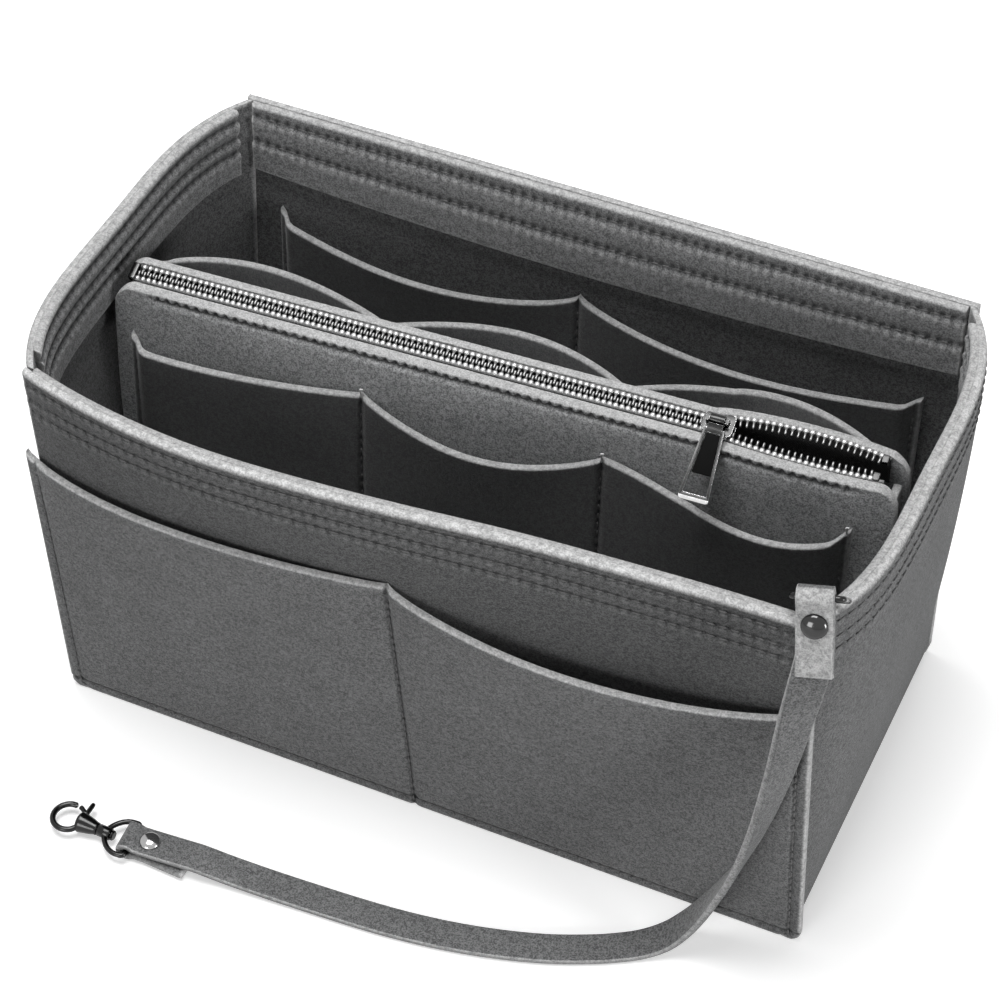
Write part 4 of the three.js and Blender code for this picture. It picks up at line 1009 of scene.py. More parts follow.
def merged_object(name: str, shells: Sequence[Shell], material: Material) -> Object:
    """One object from several closed shells, with their normals set outwards.

    Args:
        name: the object's name.
        shells: points and faces of each shell.
        material: its finish.

    Returns:
        The object.
    """
    points, faces, start = [], [], 0
    for shell_points, shell_faces in shells:
        points.append(shell_points)
        faces.extend([[v + start for v in face] for face in shell_faces])
        start += len(shell_points)
    made = mesh_object(name, np.concatenate(points), faces, material)
    work = bmesh.new()
    work.from_mesh(made.data)
    bmesh.ops.recalc_face_normals(work, faces=work.faces)
    work.to_mesh(made.data)
    work.free()
    return made


def refined(
    node: str, name: str, bevel: float, material: Material, bright_end: float = 0.0
) -> Object:
    """A copy of a hard CAD solid with its edges broken and marked for a painted highlight, in place of the
    solid.

    Args:
        node: the CAD node.
        name: the new object's name.
        bevel: the bevel's width in millimetres.
        material: its finish.
        bright_end: height of a lowest end that gets the painted highlight too, in millimetres.

    Returns:
        The object.
    """
    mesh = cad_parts[node].data.copy()
    mesh.name = name
    work = bmesh.new()
    work.from_mesh(mesh)
    painted_highlight = work.faces.layers.float.new("edge")
    bmesh.ops.remove_doubles(work, verts=work.verts, dist=2e-6)
    bmesh.ops.dissolve_limit(work, angle_limit=math.radians(2), verts=work.verts, edges=work.edges)
    sharp = [e for e in work.edges if len(e.link_faces) == 2 and e.calc_face_angle() > math.radians(38)]
    broken = bmesh.ops.bevel(
        work, geom=sharp, offset=bevel * MM, segments=2, profile=0.6, affect="EDGES", clamp_overlap=True
    )
    # The bevel faces are marked for a painted highlight.
    for face in broken["faces"]:
        face[painted_highlight] = 1.0
    bmesh.ops.triangulate(work, faces=[f for f in work.faces if len(f.verts) > 4])
    if bright_end:
        level = min(v.co.z for v in work.verts) + bright_end * MM
        every = list(work.verts) + list(work.edges) + list(work.faces)
        bmesh.ops.bisect_plane(work, geom=every, plane_co=(0, 0, level), plane_no=(0, 0, 1))
        for face in work.faces:
            if face.calc_center_median().z < level:
                face[painted_highlight] = 1.0
    work.to_mesh(mesh)
    work.free()
    mesh.materials.clear()
    mesh.materials.append(material)
    mesh.polygons.foreach_set("use_smooth", [True] * len(mesh.polygons))
    mesh.set_sharp_from_angle(angle=math.radians(32))
    return linked(name, mesh)


def settle(made: Object, body: Body, slot: Slot, *nodes: str) -> Object:
    """Fixes a finished piece to its body and hides the CAD nodes that it stands for.

    Args:
        made: the piece.
        body: the body that carries it.
        slot: its material slot; not used.
        nodes: CAD nodes that it replaces.

    Returns:
        The piece.
    """
    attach(made, body.value)
    if nodes:
        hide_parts(*nodes)
    LOG.info("%s on %s, %d faces", made.name, body.value, len(made.data.polygons))
    return made


# Repeats, by Geometry Nodes


class Repeater:
    """Geometry Nodes trees that set a small shape at each marked point of a row."""

    def __init__(self) -> None:
        """Builds the stitch tree and the tooth tree."""
        thread = {"Stitch Length": 0.0036, "Thread Radius": 0.00035}
        self.stitches = self.tree("thread_stitches", thread, None)
        self.teeth = self.tree("zip_teeth", {"Size": 1.0, "Lean": 0.03}, "Tooth")

    @staticmethod
    def tree(name: str, sizes: dict[str, float], instance: Optional[str]) -> NodeTree:
        """Builds a tree that turns each instance along the row and out of the surface.

        Args:
            name: the tree's name.
            sizes: named number inputs and their values.
            instance: the name of the object input, or None for a thread stitch.

        Returns:
            The tree.
        """
        tree = bpy.data.node_groups.new(name, "GeometryNodeTree")
        kinds = {"Geometry": "Geometry", **{label: "Float" for label in sizes}}
        kinds |= {instance: "Object", "Material": "Material"} if instance else {"Material": "Material"}
        for label, kind in kinds.items():
            socket = tree.interface.new_socket(label, in_out="INPUT", socket_type="NodeSocket" + kind)
            if label in sizes:
                socket.default_value = sizes[label]
        tree.interface.new_socket("Geometry", in_out="OUTPUT", socket_type="NodeSocketGeometry")
        sheet = NodeSheet(tree)
        given = sheet.add("NodeGroupInput").outputs
        along, out = (
            sheet.out("GeometryNodeInputNamedAttribute", data_type="FLOAT_VECTOR", Name=label)
            for label in ("along", "out")
        )
        align = "FunctionNodeAlignRotationToVector"
        facing = sheet.out(align, axis="X", Vector=along)
        facing = sheet.out(align, axis="Z", pivot_axis="X", Rotation=facing, Vector=out)
        if instance:
            shape = sheet.add("GeometryNodeObjectInfo", Object=given[instance]).outputs["Geometry"]
            lean = sheet.add("FunctionNodeRandomValue", data_type="FLOAT", Seed=7)
            sheet.put(lean.inputs[3], given["Lean"])
            turn = sheet.out("ShaderNodeCombineXYZ", 0.0, 0.0, lean.outputs[1])
            spin = sheet.out("FunctionNodeEulerToRotation", turn)
            facing = sheet.out("FunctionNodeRotateRotation", facing, spin, rotation_space="LOCAL")
            size = given["Size"]
        else:
            shape = sheet.out("GeometryNodeMeshUVSphere", Segments=6, Rings=5, Radius=1.0)
            half, radius = sheet.math("MULTIPLY", given["Stitch Length"], 0.5), given["Thread Radius"]
            size = sheet.out("ShaderNodeCombineXYZ", half, radius, radius)
        placed = sheet.out(
            "GeometryNodeInstanceOnPoints", Points=given["Geometry"], Instance=shape, Rotation=facing,
            Scale=size,
        )
        real = sheet.out("GeometryNodeRealizeInstances", placed)
        smooth = sheet.out("GeometryNodeSetShadeSmooth", real)
        dressed = sheet.out("GeometryNodeSetMaterial", smooth, Material=given["Material"])
        sheet.add("NodeGroupOutput", dressed)
        return tree

    def run(self, tree: NodeTree, name: str, rows: Sequence[Row], values: dict[str, object]) -> Object:
        """Sets the shapes along the rows and makes the result a plain mesh.

        Args:
            tree: the tree to use.
            name: the new object's name.
            rows: the marked points.
            values: the tree's inputs by name.

        Returns:
            The object.
        """
        mesh = bpy.data.meshes.new(name)
        mesh.from_pydata(framed(np.concatenate([row.points for row in rows])).tolist(), [], [])
        for label in ("along", "out"):
            data = np.concatenate([getattr(row, label) for row in rows]).astype(np.float32)
            mesh.attributes.new(label, "FLOAT_VECTOR", "POINT").data.foreach_set("vector", data.ravel())
        made = linked(name, mesh)
        modifier = made.modifiers.new("repeat", "NODES")
        modifier.node_group = tree
        sockets = {s.name: s.identifier for s in tree.interface.items_tree if s.in_out == "INPUT"}
        for label, value in values.items():
            modifier[sockets[label]] = value
        plain = plain_mesh(made)
        made.modifiers.clear()
        made.data = plain
        plain.name = name
        return made


# The felt box


@dataclass(frozen=True)
class FeltBox:
    """The open box: base strip, wall panels, rim bands and the pockets sewn on it."""

    felt: float = 3.0
    gap: float = 0.3
    base_length: float = 286.0
    base_width: float = 144.0
    rim_length: float = 282.0
    rim_width: float = 165.0
    height: float = 168.0
    side_bow: float = 14.0
    front_bow: float = 12.0
    bow_rise: float = 1.0
    bow_fall: float = 2.5
    bow_lift: float = 1.2
    floor_bend: float = 9.0
    panel_corner: float = 5.0
    pocket_seam: float = 2.5
    band_height: float = 29.0
    rear_band_dip: float = 5.0
    side_band_reach: float = 0.9
    ripple: float = 0.5
    band_overlap: float = 0.28
    rim_rows: tuple[float, ...] = (4.8, 12.4, 18.4)
    rear_rows: tuple[float, ...] = (5.0, 16.0)

    def rise(self, z: Array) -> Array:
        """Share of the height."""
        return np.clip(z / self.height, 0.0, 1.0)

    def half_length(self, z: Array) -> Array:
        """Half the outside length at a height."""
        return (self.base_length + (self.rim_length - self.base_length) * self.rise(z)) / 2

    def half_width(self, z: Array) -> Array:
        """Half the outside width at a height."""
        return (self.base_width + (self.rim_width - self.base_width) * self.rise(z)) / 2

    def front_face(self, x: Array, z: Array) -> Array:
        """Y of the front wall's outer face, which bows out towards the left.

        Args:
            x: places along the wall.
            z: heights.

        Returns:
            Y of the face.
        """
        peak_at = self.bow_rise / (self.bow_rise + self.bow_fall)
        peak = peak_at**self.bow_rise * (1 - peak_at) ** self.bow_fall
        half = self.half_length(z)
        s = np.clip((x + half) / (2 * half), 0.0, 1.0)
        shape = s**self.bow_rise * (1 - s) ** self.bow_fall / peak
        wave = self.ripple * soft_wave(x, z, 0.6) * self.rise(z) * np.clip(4 * s * (1 - s), 0, 1)
        return -self.half_width(z) - self.front_bow * shape * self.rise(z) ** self.bow_lift + wave

    def rear_face(self, x: Array, z: Array) -> Array:
        """Y of the rear wall's outer face."""
        return self.half_width(z) + 0.0 * x

    def wall_face(self, side: Side, x: Array, z: Array) -> Array:
        """Y of the front or the rear wall's outer face."""
        return self.front_face(x, z) if side is Side.FRONT else self.rear_face(x, z)

    def side_face(self, s: Array, z: Array) -> Array:
        """Distance of a side wall's outer face; s runs from -1 at the front edge to 1 at the rear.

        Args:
            s: places across the wall.
            z: heights.

        Returns:
            The distances from the middle.
        """
        lift = np.clip((z - self.floor_bend) / (self.height - self.floor_bend), 0.0, 1.0)
        wave = self.ripple * soft_wave(90 * s, z, 2.1) * lift * (1 - s**4)
        return self.half_length(z) + self.side_bow * (1 - (1 - lift) ** 2) * (1 - s**4) + wave

    def side_y(self, s: Array, z: Array) -> Array:
        """Y on a side wall."""
        return s * (self.half_width(z) - self.felt - self.gap)

    def panel_end(self, z: Array, past: float) -> Array:
        """Half length of a panel with rounded bottom corners.

        Args:
            z: heights.
            past: how far it stands past the box's own end.

        Returns:
            The half lengths.
        """
        corner = self.panel_corner
        low = corner - np.minimum(z, corner)
        return self.half_length(z) + past - corner + np.sqrt(np.maximum(corner**2 - low**2, 0.0))

    def strip_surface(self, u: Array, v: Array, depth: Array) -> Array:
        """The base strip: up the left wall, over the floor and up the right wall.

        Args:
            u: across, from the front edge to the rear.
            v: along the strip.
            depth: from the outer face inwards.

        Returns:
            The points.
        """
        s = 2 * u - 1
        flat = self.base_length / 2 - self.floor_bend
        arc = self.floor_bend * math.pi / 2
        wall = self.height - self.floor_bend
        run = (2 * v - 1) * (flat + arc + wall)
        side = np.where(run < 0, -1.0, 1.0)
        m = np.abs(run)
        angle = np.clip((m - flat) / self.floor_bend, 0.0, math.pi / 2)
        z_wall = self.floor_bend + np.maximum(m - flat - arc, 0.0)
        step = 0.5
        slope = (self.side_face(s, z_wall + step) - self.side_face(s, z_wall - step)) / (2 * step)
        slope = np.where(m > flat + arc, slope, 0.0)
        size = np.sqrt(1 + slope * slope)
        bend_x = np.minimum(m, flat) + np.sin(angle) * self.floor_bend
        bend_z = self.floor_bend * (1 - np.cos(angle))
        on_wall = m > flat + arc
        x = np.where(on_wall, self.side_face(s, z_wall) - depth / size, bend_x - np.sin(angle) * depth)
        z = np.where(on_wall, z_wall + depth * slope / size, bend_z + np.cos(angle) * depth)
        z = np.minimum(z, self.height)
        return np.stack([side * x, self.side_y(s, z), z], axis=-1)

    @property
    def strip_length(self) -> float:
        """Length of the base strip."""
        bend = self.floor_bend
        return 2 * (self.base_length / 2 - bend + bend * math.pi / 2 + self.height - bend)

    def wall_surface(self, side: Side, u: Array, v: Array, depth: Array) -> Array:
        """The front or the rear panel; the near face is outside.

        Args:
            side: which wall.
            u: along the wall, from the left.
            v: up the wall.
            depth: from the near face.

        Returns:
            The points.
        """
        z = v * self.height
        x = (2 * u - 1) * self.panel_end(z, 0.0)
        return np.stack([x, self.wall_face(side, x, z) - side.value * depth, z], axis=-1)

    def band_surface(self, side: Side, u: Array, v: Array, depth: Array) -> Array:
        """The band inside the front or the rear rim; the near face is inside.

        Args:
            side: which wall.
            u: along the wall, from the left.
            v: up the band.
            depth: from the near face.

        Returns:
            The points.
        """
        dip = self.rear_band_dip if side is Side.REAR else 0.0
        tall = self.band_height + dip * (1 - (2 * u - 1) ** 2)
        z = self.height - tall * (1 - v)
        x = (2 * u - 1) * (self.half_length(z) - self.felt - self.gap)
        inset = 2 * self.felt + self.gap - depth
        return np.stack([x, self.wall_face(side, x, z) - side.value * inset, z], axis=-1)

    def side_band_surface(self, wall: Wall, u: Array, v: Array, depth: Array) -> Array:
        """The band inside a side wall's rim; the near face is inside.

        Args:
            wall: which wall.
            u: along the wall, from the front.
            v: up the band.
            depth: from the near face.

        Returns:
            The points.
        """
        s = (2 * u - 1) * self.side_band_reach
        z = self.height - self.band_height * (1 - v)
        x = self.side_face(s, z) - (2 * self.felt + self.gap - depth)
        return np.stack([wall.value * x, self.side_y(s, z), z], axis=-1)

    def build(self, finishes: Finishes, repeater: Repeater) -> None:
        """Makes and dresses the box.

        Args:
            finishes: the materials.
            repeater: sets the stitches.
        """
        rows: list[Row] = []
        self.build_strip(finishes.felt, rows)
        self.build_walls(finishes, rows)
        # The bands take the lighter felt copy, painted light.
        self.build_bands(finishes.band, rows)
        self.build_pockets(finishes.felt, finishes.inner, rows)
        values = {"Stitch Length": 3.4 * MM, "Thread Radius": 0.36 * MM, "Material": finishes.thread_box}
        settle(repeater.run(repeater.stitches, "box_stitches", rows, values), Body.BOX, Slot.FELT)

    def build_strip(self, felt: Material, rows: list[Row]) -> None:
        """The strip of the side walls and the base, with its stitch rows outside.

        Args:
            felt: its finish.
            rows: takes the stitch rows.
        """
        length = self.strip_length
        stitches = [
            StitchRow(place, depth=0.6, pucker=0.47, pillow=0.1, lower=1.0 if place < length / 2 else -1.0)
            for place in (*self.rim_rows, *(length - row for row in self.rim_rows))
        ]
        slab = Slab(
            "side_walls_and_base", self.strip_surface, self.base_width + 10, length, self.felt,
            near_round=2.0, far_round=0.12, u_pitch=1.05, v_pitch=4.0, stitches=stitches, cut_reach=1.5,
        )
        slab.sew(felt, Body.BOX, "base_gusset", rows, 8.0)

    def build_walls(self, finishes: Finishes, rows: list[Row]) -> None:
        """The front and the rear panel, with the rim's stitch rows outside.

        Args:
            finishes: the materials.
            rows: takes the stitch rows.
        """
        # The front panel takes the darker felt copy, painted shade.
        for side, name, places, felt, far, top in (
            (Side.FRONT, "front_panel", self.rim_rows, finishes.front, 0.12, 1.8),
            (Side.REAR, "rear_panel", self.rear_rows, finishes.felt, 0.7, 1.3),
        ):
            slab = Slab(
                "felt_" + name, partial(self.wall_surface, side), self.base_length, self.height, self.felt,
                near_round=0.8, far_round=far, top_round=top, u_pitch=1.05, v_pitch=4.0,
                stitches=[StitchRow(self.height - place, pucker=0.47, pillow=0.15) for place in places],
            )
            slab.sew(felt, Body.BOX, name, rows, 9.0)

    def build_bands(self, felt: Material, rows: list[Row]) -> None:
        """The four bands inside the rim, with their stitch rows.

        Args:
            felt: their finish.
            rows: takes the stitch rows.
        """
        length = self.base_length - 2 * (self.felt + self.gap)
        depth = self.side_band_reach * (self.rim_width - 2 * self.felt)
        long, short = self.band_surface, self.side_band_surface
        for name, surface, run, places, merged, pucker, pillow in (
            ("front_rim_band", partial(long, Side.FRONT), length, self.rim_rows, True, 0.3, 0.4),
            ("rear_rim_band", partial(long, Side.REAR), length, self.rear_rows, False, 0.3, 0.5),
            ("left_rim_band", partial(short, Wall.LEFT), depth, self.rim_rows, True, 0.1, 0.3),
            ("right_rim_band", partial(short, Wall.RIGHT), depth, self.rim_rows, True, 0.1, 0.3),
        ):
            stitches = [
                StitchRow(self.band_height - place, depth=1.35, width=1.5, pucker=pucker, pillow=pillow)
                for place in places
            ]
            thick = self.felt + (self.band_overlap if merged else 0.0)
            slab = Slab(
                "felt_" + name, surface, run, self.band_height, thick,
                near_round=0.8, far_round=0.12 if merged else 0.7, top_round=2.2 if merged else 1.2,
                u_pitch=1.05, v_pitch=1.6, stitches=stitches,
            )
            slab.sew(felt, Body.BOX, name, rows, 5.0)

    def build_pockets(self, felt: Material, inner: Material, rows: list[Row]) -> None:
        """The front pockets and the pockets inside the rear wall.

        Args:
            felt: the front pockets' finish.
            inner: the inside pockets' finish.
            rows: takes the stitch rows.
        """
        front = PocketSheet(
            "front_pocket_panel", top=130.0, floor=0.0, scallops=(5.0, 13.0), gapes=(2.5, 8.0),
            skews=(0.6, 1.0), shift=-3.4, end=lambda z: self.panel_end(z, self.pocket_seam),
            face=self.front_face, out=Side.FRONT, clear=self.gap,
            length=self.base_length + 2 * self.pocket_seam, hems=(4.2, 4.2),
        )
        front.build(Body.BOX, felt, rows, ["front_panel"])
        inside = self.base_length / 2 - self.felt - 13.0
        rear = PocketSheet(
            "rear_pocket_panel", top=124.0, floor=self.felt + self.gap, scallops=(11.0, 8.0),
            gapes=(7.0, 7.0), skews=(1.0, 1.0), shift=-5.0, end=lambda z: inside + 0.0 * z,
            face=lambda x, z: self.rear_face(x, z) - self.felt,
            out=Side.FRONT, clear=self.gap, length=2 * inside, hems=(2.2, 0.0), hook=3.6,
        )
        # The inside pockets take the darker felt copy, painted shade.
        rear.build(Body.BOX, inner, rows, ["rear_panel"])


@dataclass
class PocketSheet:
    """A pocket sheet over a wall: scalloped mouths that gape a little between the seams."""

    node: str
    top: float
    floor: float
    scallops: tuple[float, ...]
    gapes: tuple[float, ...]
    skews: tuple[float, ...]
    shift: float
    end: Callable[[Array], Array]
    face: Callable[[Array, Array], Array]
    out: Side
    clear: float
    length: float
    hems: tuple[float, float]
    felt: float = 3.0
    mouth_power: float = 0.6
    offset: float = 0.0
    gape_power: float = 0.8
    hook: float = 0.0
    place: Callable[[Array], Array] = field(default=lambda points: points)

    def arch(self, u: Array) -> tuple[Array, Array]:
        """Which pocket a place belongs to, and the arch of its mouth.

        Args:
            u: place along the sheet, from 0 to 1.

        Returns:
            The pocket's number and the arch from 0 at its seams to 1.
        """
        count = len(self.scallops)
        pocket = np.minimum(np.floor(u * count), count - 1).astype(int)
        share = np.clip(u * count - pocket, 0.0, 1.0) ** np.array(self.skews)[pocket]
        return pocket, np.maximum(np.sin(np.pi * share), 0.0)

    def surface(self, u: Array, v: Array, depth: Array) -> Array:
        """The sheet; the near face is the one away from the wall.

        Args:
            u: along the sheet, from the left.
            v: up the sheet.
            depth: from the near face.

        Returns:
            The points.
        """
        pocket, arch = self.arch(u)
        mouth = self.top - np.array(self.scallops)[pocket] * arch**self.mouth_power
        z = self.floor + (mouth - self.floor) * v
        x = (2 * u - 1) * self.end(z) + self.offset + self.shift * 4 * u * (1 - u)
        gape = np.array(self.gapes)[pocket] * arch**self.gape_power * v**2
        inset = np.minimum(u, 1 - u) * self.length
        curl = smooth_step((inset - 0.8) / 6.0) * np.exp(-np.maximum(inset - 5.0, 0.0) / 16.0)
        gape = gape + self.hook * curl * v**2
        y = self.face(x, z) + self.out.value * (self.clear + gape + self.felt - depth)
        return self.place(np.stack([x, y, z], axis=-1))

    def thread_end(self, share: float) -> Shell:
        """A cut thread that stands up from the top of a seam.

        Args:
            share: the seam's place along the sheet.

        Returns:
            Its points and faces.
        """
        foot = self.surface(np.array(share), np.array(1.0), np.array(0.9))
        steps = [(0.0, 0.0, -1.2), (0.1, -0.1, 0.3), (0.0, -0.3, 1.6), (-0.2, -0.4, 2.8), (0.9, -0.5, 3.3)]
        path, _ = through(foot + np.array(steps), 4)
        return tube_mesh(path, [0.38] * len(path), 6, False)

    def build(self, body: Body, felt: Material, rows: list[Row], carriers: list[str]) -> None:
        """Makes the sheet, its seams and its stitches.

        Args:
            body: the body that it rides on.
            felt: its finish.
            rows: takes the stitch rows.
            carriers: what it is sewn on; not used.
        """
        count = len(self.scallops)
        inner = [self.length * i / count for i in range(1, count)]
        side, low = self.hems
        ends = [side, self.length - side] if side else []
        seams = [StitchRow(place, 4.0, depth=1.25, width=1.0, pucker=0.2) for place in inner]
        seams += [StitchRow(place, 4.0, depth=0.8, width=0.9, pucker=0.25) for place in ends]
        hem = [StitchRow(low, 4.0, depth=0.95, width=0.9, pucker=0.15)] if low else []
        slab = Slab(
            "felt_" + self.node, self.surface, self.length, self.top - self.floor, self.felt,
            near_round=0.8, far_round=0.7, u_pitch=2.0, v_pitch=2.2, stitches=hem, seams=seams,
        )
        slab.sew(felt, body, self.node, rows, 8.0)


# The zip pouch


@dataclass(frozen=True)
class ZipPouch:
    """The pouch that stands in the box: two panels, a gusset and its pockets."""

    felt: float = 3.0
    gap: float = 0.3
    length: float = 289.0
    height: float = 147.0
    top: float = 15.0
    belly: float = 30.0
    corner: float = 9.0
    foot: float = 12.0
    taper: float = 13.0
    taper_height: float = 100.0
    seam: float = 2.0
    gusset_drop: float = 8.0
    x: float = -3.3
    y: float = 2.0
    turn: float = 3.0
    lift: float = 0.3
    pocket_margin: float = 10.8
    pocket_offset: float = -2.8
    pocket_clear: float = 0.6
    tilt: float = 20.0
    slider_x: float = 79.0
    open_lead: float = 3.0
    open_front: float = 2.4
    open_rear: float = 4.0
    open_depth: float = 70.0
    stitch_drop: float = 2.5
    lip: float = 1.25
    lip_rise: float = 0.6

    def placed(self, points: Array) -> Array:
        """Moves points from the pouch's frame to the maker's.

        Args:
            points: points in the pouch's frame.

        Returns:
            The moved points.
        """
        angle = math.radians(self.turn)
        c, s = math.cos(angle), math.sin(angle)
        x = points[..., 0] * c - points[..., 1] * s + self.x
        y = points[..., 0] * s + points[..., 1] * c + self.y
        return np.stack([x, y, points[..., 2] + self.felt + self.lift], axis=-1)

    def rim_height(self, side: Side) -> float:
        """Top of the front or the rear panel."""
        inner = self.top / 2 - self.felt
        return self.height + side.value * inner * math.tan(math.radians(self.tilt))

    def sewn_height(self, side: Side) -> float:
        """Top of a panel; the front one comes up beside the teeth."""
        return self.rim_height(side) + (self.lip_rise if side is Side.FRONT else 0.0)

    def half(self, z: Array) -> Array:
        """Half the pouch's thickness at a height."""
        share = np.clip(z / self.height, 0.0, 1.0)
        return (self.belly + (self.top - self.belly) * share**2.2) / 2

    def mouth_bow(self, x: Array) -> Array:
        """How far the open mouth bows, from 0 to 1.

        Args:
            x: places along the pouch.

        Returns:
            The shares.
        """
        start = self.slider_x - self.open_lead
        along = np.clip((x - start) / (self.length / 2 - start), 0.0, 1.0)
        return np.sin(np.pi * along) ** 0.6

    def open_by(self, side: Side) -> float:
        """How far a side of the open mouth bows at most."""
        return self.open_front if side is Side.FRONT else self.open_rear

    def side_reach(self, side: Side, x: Array, z: Array) -> Array:
        """Distance of a panel's outer face from the pouch's middle plane.

        Args:
            side: which panel.
            x: places along the pouch.
            z: heights.

        Returns:
            The distances, bowed where the mouth is open.
        """
        fade = np.clip((z - self.height + self.open_depth) / self.open_depth, 0.0, 1.0) ** 2
        return self.half(z) + self.open_by(side) * self.mouth_bow(x) * fade

    def face(self, side: Side, x: Array, z: Array) -> Array:
        """The outer face of the front or the rear panel.

        Args:
            side: which panel.
            x: places along the pouch.
            z: heights.

        Returns:
            Y of the face.
        """
        wave = 0.35 * soft_wave(x, z, 3.3) * np.clip(z / 60, 0, 1) * np.clip((self.height - z) / 20, 0, 1)
        return side.value * self.side_reach(side, x, z) + wave

    def end(self, z: Array, top: float) -> Array:
        """Half the pouch's length at a height, with its corners rounded.

        Args:
            z: heights.
            top: the panel's top.

        Returns:
            The half lengths.
        """
        draw = np.clip(1 - z / self.taper_height, 0.0, 1.0)
        low = self.foot - np.minimum(z, self.foot)
        high = np.maximum(z - (top - self.corner), 0.0)
        foot_round = self.foot - np.sqrt(np.maximum(self.foot**2 - low**2, 0.0))
        top_round = self.corner - np.sqrt(np.maximum(self.corner**2 - high**2, 0.0))
        return self.length / 2 - self.taper * draw**2 - foot_round - top_round

    def panel_surface(self, side: Side, u: Array, v: Array, depth: Array) -> Array:
        """The front or the rear panel; the near face is outside.

        Args:
            side: which panel.
            u: along the panel, from the left.
            v: up the panel.
            depth: from the near face.

        Returns:
            The points.
        """
        top = self.sewn_height(side)
        shoulder = self.length / 2 - 2 * self.corner
        lip = self.lip if side is Side.FRONT else self.lip / 2
        z = v * top
        wide = (2 * u - 1) * self.length / 2
        share = np.maximum(np.abs(wide) - shoulder, 0.0) / (self.length / 2 - shoulder)
        drawn = np.sign(wide) * (shoulder + (self.end(z, top) - shoulder) * share)
        x = np.where(np.abs(wide) <= shoulder, wide, drawn)
        thicker = 1 + lip / self.felt * smooth_step((z - top + 3.2) / 2.2)
        return self.placed(np.stack([x, self.face(side, x, z) - side.value * depth * thicker, z], axis=-1))

    def gusset_surface(self, u: Array, v: Array, depth: Array) -> Array:
        """The strip round the pouch's ends and bottom.

        Args:
            u: across, from the front to the rear.
            v: along, from the left end's top down and round to the right end's top.
            depth: from the outer face inwards.

        Returns:
            The points.
        """
        front = self.rim_height(Side.FRONT)
        above = np.linspace(self.foot + 3, front - self.gusset_drop, 40)
        heights = np.concatenate([np.linspace(0, self.foot, 14), above])
        ends = self.end(heights, front)
        right = np.stack([np.concatenate([[0.0], ends]), np.concatenate([[0.0], heights])], axis=-1)
        line = np.concatenate([right[:0:-1] * [-1, 1], right])
        ahead = unit(np.gradient(line, axis=0))
        run = run_lengths(line)
        at, deep = v * run[-1], depth + self.seam
        x = np.interp(at, run, line[:, 0]) - np.interp(at, run, ahead[:, 1]) * deep
        z = np.interp(at, run, line[:, 1]) + np.interp(at, run, ahead[:, 0]) * deep
        y = (2 * u - 1) * (self.half(z) - self.felt - self.gap)
        return self.placed(np.stack([x, y, z], axis=-1))

    def build(self, finishes: Finishes, repeater: Repeater) -> None:
        """Makes and dresses the pouch without its zip.

        Args:
            finishes: the materials.
            repeater: sets the stitches.
        """
        rows: list[Row] = []
        # The panels take the lighter felt copy, painted light.
        for side, node in ((Side.FRONT, "pouch_front_panel"), (Side.REAR, "pouch_rear_panel")):
            self.build_panel(side, node, finishes.pouch, rows)
        self.build_gusset(finishes.lining)
        half = self.length / 2 - self.pocket_margin
        sheets = []
        for side, node, top, scallops, gapes, skews, power, hook in (
            (
                Side.FRONT, "pouch_front_pockets", 129.0, (5.5, 10.5, 10.0), (2.5, 5.0, 5.0),
                (0.6, 1.0, 1.6), 0.85, 3.6,
            ),
            (
                Side.REAR, "pouch_rear_pockets", 143.0, (4.5, 5.0, 5.0), (17.0, 18.0, 18.0),
                (0.75, 1.0, 1.0), 0.6, 0.0,
            ),
        ):
            pockets = PocketSheet(
                node, top=top, floor=self.foot, scallops=scallops, gapes=gapes, skews=skews, shift=0.0,
                end=lambda z: half + 0.0 * z, face=partial(self.face, side), out=side, length=2 * half,
                clear=self.pocket_clear, hems=(2.0, 0.0), place=self.placed, offset=self.pocket_offset,
                mouth_power=power, hook=hook,
            )
            # The pockets take the darker felt copy, painted shade.
            pockets.build(Body.POUCH, finishes.inner, rows, ["pouch_front_panel", "pouch_rear_panel"])
            sheets.append(pockets)
        values = {"Stitch Length": 2.6 * MM, "Thread Radius": 0.33 * MM, "Material": finishes.thread}
        settle(repeater.run(repeater.stitches, "pouch_stitches", rows, values), Body.POUCH, Slot.FELT)
        ends = [sheets[0].thread_end(share) for share in (1 / 3, 2 / 3, 0.995)]
        settle(merged_object("seam_thread_ends", ends, finishes.thread_end), Body.POUCH, Slot.FELT)

    def build_gusset(self, felt: Material) -> None:
        """The strip between the panels.

        Args:
            felt: its finish.
        """
        run = 2 * (self.length / 2 + self.rim_height(Side.FRONT) - self.gusset_drop - 6)
        width = self.belly - 6.6
        slab = Slab(
            "felt_pouch_gusset", self.gusset_surface, width, run, self.felt,
            near_round=0.8, far_round=0.8, u_pitch=3.0, v_pitch=2.5,
        )
        made = settle(slab.build(felt), Body.POUCH, Slot.FELT_DARK, "pouch_gusset")

    def build_panel(self, side: Side, node: str, felt: Material, rows: list[Row]) -> None:
        """One panel, with the stitch row under its rolled top edge.

        Args:
            side: which panel.
            node: its CAD node.
            felt: its finish.
            rows: takes the stitch row.
        """
        top, half = self.sewn_height(side), self.length / 2
        place = top - self.stitch_drop
        row = StitchRow(place, 3.8, depth=1.5, width=1.0, pucker=0.3, lower=1.0, scallop=0.5)
        slab = Slab(
            "felt_" + node, partial(self.panel_surface, side), self.length, top, self.felt,
            near_round=0.9, far_round=0.5, u_pitch=0.63, v_pitch=5.0, stitches=[row],
            fade=lambda u: smooth_step((half - 10 - np.abs((2 * u - 1) * half)) / 8),
        )
        slab.sew(felt, Body.POUCH, node, rows, 18.0)


# The zip


